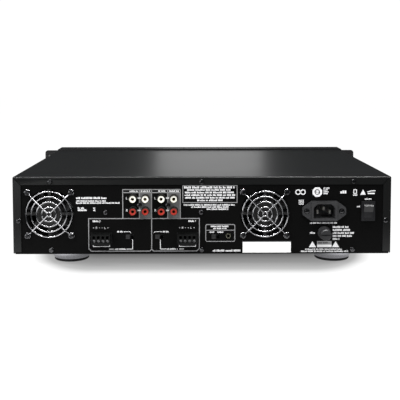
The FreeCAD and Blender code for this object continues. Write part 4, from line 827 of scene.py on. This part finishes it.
def print_label_edge(finishes):
    """Thin grey line along the top of the blank serial label."""
    edge = [rectangle(LABEL_LOW.x, LABEL_HIGH.z, LABEL_HIGH.x, LABEL_HIGH.z + 0.9 * MM)]
    print_on_panel("print_label_edge", edge, finishes["grey_ink"])


def print_panel(finishes):
    """Everything that is printed on the rear panel."""
    print_zone_frames(finishes)
    print_socket_frame(finishes)
    print_socket_marks(finishes)
    for zone in (1, 2):
        print_zone_marks(zone, finishes)
    print_notices(finishes)
    print_rating_box(finishes)
    print_trigger_box(finishes)
    print_marks_row(finishes)
    print_mains_words(finishes)
    print_caution_strip(finishes)
    print_label_edge(finishes)


# ---------------------------------------------------------------- small extra pieces

def lathe(profile, centre, steps=48):
    """A solid of revolution about the Y axis: profile points are (radius, y)."""
    points = []
    faces = []
    count = len(profile)
    for step in range(steps):
        turn = math.tau * step / steps
        for radius, y in profile:
            points.append((centre.x + radius * math.cos(turn), y, centre.z + radius * math.sin(turn)))
    for step in range(steps):
        after = (step + 1) % steps
        for i in range(count):
            following = (i + 1) % count
            faces.append([
                step * count + i,
                step * count + following,
                after * count + following,
                after * count + i,
            ])
    return points, faces


def add_hub_labels(finishes):
    """Thin dark disc with a raised rim on each fan's motor, inside the guard."""
    hole_r, disc_r, rim_r, rim_in = 3.0 * MM, 12.2 * MM, 11.6 * MM, 10.8 * MM
    sunk, face_up, edge_up, rim_up = -0.05 * MM, 0.10 * MM, 0.12 * MM, 0.22 * MM
    bevel = 0.2 * MM
    for side in ("left", "right"):
        low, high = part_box(f"fan_frame_{side}")
        face = high.y
        profile = [
            (hole_r, face + sunk),
            (disc_r, face + sunk),
            (disc_r + bevel, face + edge_up),
            (rim_r, face + rim_up),
            (rim_in, face + face_up),
            (hole_r + bevel, face + face_up),
        ]
        points, faces = lathe(profile, (low + high) / 2)
        add_piece(f"fan_hub_label_{side}", points, faces, finishes["socket"], smooth=True)


# ---------------------------------------------------------------- stage, lights and camera

# The floor's painted shadow, a dim middle in its glow round the amplifier: how much faster it fades at
# its two ends than at front and rear, half its length and width, how far the fade reaches, and the glow
# at shares of that distance. The first two levels are the fade's ends and the rest lie between them.
PAINTED_SHADOW_SQUEEZE = 1.6
PAINTED_SHADOW_HALF_X = 0.123125
PAINTED_SHADOW_HALF_Y = cad_box[1].y - 0.10
PAINTED_SHADOW_REACH = 0.14
PAINTED_SHADOW_GLOW = (
    (0.0, 0.07),
    (0.96, 1.0),
    (0.27, 0.14),
    (0.45, 0.27),
    (0.65, 0.33),
    (0.77, 0.46),
    (0.88, 0.82),
)


def make_floor():
    """Pale floor with a painted shadow round the amplifier: a near patch that metal mirrors, and the rest,
    which it doesn't.
    """
    near_x, near_y = cad_box[1].x + 0.06, cad_box[1].y + 0.09
    far = 6.0
    sheets = {
        "floor_near": [(-near_x, -near_y, near_x, near_y)],
        "floor_far": [
            (-far, near_y, far, far),
            (-far, -far, far, -near_y),
            (-far, -near_y, -near_x, near_y),
            (near_x, -near_y, far, near_y),
        ],
    }
    # The floor's material glows by its own emission and carries a painted shadow round the amplifier.
    material = lit_floor()
    for name, parts in sheets.items():
        points = []
        faces = []
        for x1, y1, x2, y2 in parts:
            first = len(points)
            points += [(x1, y1, 0), (x2, y1, 0), (x2, y2, 0), (x1, y2, 0)]
            faces.append([first, first + 1, first + 2, first + 3])
        mesh = bpy.data.meshes.new(name)
        mesh.from_pydata(points, [], faces)
        mesh.materials.append(material)
        floor = bpy.data.objects.new(name, mesh)
        bpy.context.scene.collection.objects.link(floor)
        floor.location.z = -0.05 * MM
        floor.visible_glossy = name == "floor_near"


def vector_step(tree, operation, source, constant=None):
    """One vector maths node on a value, with a constant where the operation takes one."""
    node = tree.nodes.new("ShaderNodeVectorMath")
    node.operation = operation
    if constant is not None:
        node.inputs[1].default_value = constant
    tree.links.new(source, node.inputs[0])
    return node


def lit_floor():
    """Pale floor that glows by its own emission, with a painted shadow: the glow is dimmed under and close to
    the amplifier.
    """
    material, tools = new_material("pale_floor_painted_shadow", (0.05, 0.05, 0.05), 0.9, specular=0.0)
    tree, shader, place = tools
    inset = (PAINTED_SHADOW_HALF_X * PAINTED_SHADOW_SQUEEZE, PAINTED_SHADOW_HALF_Y, 1)
    stretched = vector_step(tree, "MULTIPLY", place, (PAINTED_SHADOW_SQUEEZE, 1, 1))
    size = vector_step(tree, "ABSOLUTE", stretched.outputs["Vector"])
    past = vector_step(tree, "SUBTRACT", size.outputs["Vector"], inset)
    clipped = vector_step(tree, "MAXIMUM", past.outputs["Vector"], (0, 0, 0))
    distance = vector_step(tree, "LENGTH", clipped.outputs["Vector"])
    reach = tree.nodes.new("ShaderNodeMapRange")
    reach.inputs["From Max"].default_value = PAINTED_SHADOW_REACH
    tree.links.new(distance.outputs["Value"], reach.inputs["Value"])
    # Glow by distance: dim under and near the amplifier as a painted shadow, full white further out.
    ramp = tree.nodes.new("ShaderNodeValToRGB")
    for i, (position, level) in enumerate(PAINTED_SHADOW_GLOW):
        stop = ramp.color_ramp.elements[i] if i < 2 else ramp.color_ramp.elements.new(position)
        stop.position = position
        stop.color = (level, level, level, 1)
    tree.links.new(reach.outputs["Result"], ramp.inputs["Fac"])
    tree.links.new(ramp.outputs["Color"], shader.inputs["Emission Color"])
    shader.inputs["Emission Strength"].default_value = 1.0
    return material


def make_world():
    """White to the camera and dim to everything else, as in a studio with a lit cove."""
    world = bpy.data.worlds.new("studio")
    bpy.context.scene.world = world
    world.use_nodes = True
    tree = world.node_tree
    dim = tree.nodes["Background"]
    dim.inputs["Color"].default_value = (0.9, 0.95, 1, 1)
    dim.inputs["Strength"].default_value = 0.05
    white = tree.nodes.new("ShaderNodeBackground")
    white.inputs["Color"].default_value = (1, 1, 1, 1)
    white.inputs["Strength"].default_value = 1.05
    path = tree.nodes.new("ShaderNodeLightPath")
    mix = tree.nodes.new("ShaderNodeMixShader")
    tree.links.new(path.outputs["Is Camera Ray"], mix.inputs["Fac"])
    tree.links.new(dim.outputs["Background"], mix.inputs[1])
    tree.links.new(white.outputs["Background"], mix.inputs[2])
    tree.links.new(mix.outputs["Shader"], tree.nodes["World Output"].inputs["Surface"])


def add_softbox(name, place, aim, size, power, mirrored=True):
    """A rectangular studio light that the camera doesn't see, and metal only if it is mirrored."""
    light = bpy.data.lights.new(name, "AREA")
    light.shape = "RECTANGLE"
    light.size, light.size_y = size
    light.energy = power
    box = bpy.data.objects.new(name, light)
    bpy.context.scene.collection.objects.link(box)
    box.location = place
    box.rotation_mode = "QUATERNION"
    box.rotation_quaternion = (Vector(aim) - Vector(place)).to_track_quat("-Z", "Y")
    box.visible_camera = False
    box.visible_glossy = mirrored


def make_lights():
    """Key from the left, fill from the right, and cards that draw the highlights on metal and paint."""
    rear = (0, PANEL_Y, 0.05)
    rear_bend = (0, 0.17, 0.1)
    left_lip = (0.2, 0.16, 0.08)
    add_softbox("left_key", (0.78, 0.62, 0.52), rear, (0.4, 0.4), 8, mirrored=False)
    add_softbox("right_fill", (-0.8, 1.1, 0.7), rear, (0.5, 0.5), 5, mirrored=False)
    add_softbox("low_left", (0.55, 0.8, 0.14), left_lip, (0.6, 0.26), 1.1)
    add_softbox("overhead_strip", (-0.14, 0.66, 1.06), rear, (0.3, 0.3), 3.2)
    add_softbox("right_window", (-0.33, 0.62, 0.62), rear, (0.22, 0.22), 1.5)
    add_softbox("left_strip", (0.5, 0.5, 0.56), rear, (0.08, 0.3), 0.7)
    add_softbox("edge_strip", (0.0, 0.34, 1.15), rear_bend, (1.5, 0.06), 15)
    add_softbox("top_fill", (0.05, -0.35, 1.5), (0, 0, 0), (1.3, 0.9), 6)
    add_softbox("back_card", (-0.045, -1.5, 0.42), (0, 0, 0.1), (0.36, 0.7), 0.62)


CAMERA_PLACE = (0.01095, 1.0035, 0.2191)
CAMERA_YAW = math.radians(0.59)
CAMERA_PITCH = math.radians(3.5)
CAMERA_ROLL = math.radians(-0.01)


def make_camera():
    """Behind the amplifier, a little above it and almost square on."""
    camera = bpy.data.objects.new("camera", bpy.data.cameras.new("camera"))
    bpy.context.scene.collection.objects.link(camera)
    level_share = math.cos(CAMERA_PITCH)
    forward = Vector((
        -math.sin(CAMERA_YAW) * level_share,
        -math.cos(CAMERA_YAW) * level_share,
        -math.sin(CAMERA_PITCH),
    ))
    level = forward.to_track_quat("-Z", "Y")
    camera.location = CAMERA_PLACE
    camera.rotation_mode = "QUATERNION"
    camera.rotation_quaternion = level @ Quaternion((0, 0, 1), CAMERA_ROLL)
    camera.data.lens = 67.46
    camera.data.sensor_width = 36
    camera.data.shift_x = -0.001
    camera.data.shift_y = -0.2031
    bpy.context.scene.camera = camera


def main():
    bpy.context.scene.view_settings.view_transform = "Standard"
    finishes = make_finishes()
    make_camera()
    make_world()
    make_lights()
    make_floor()
    dress_nodes(finishes)
    print_panel(finishes)
    add_hub_labels(finishes)


main()
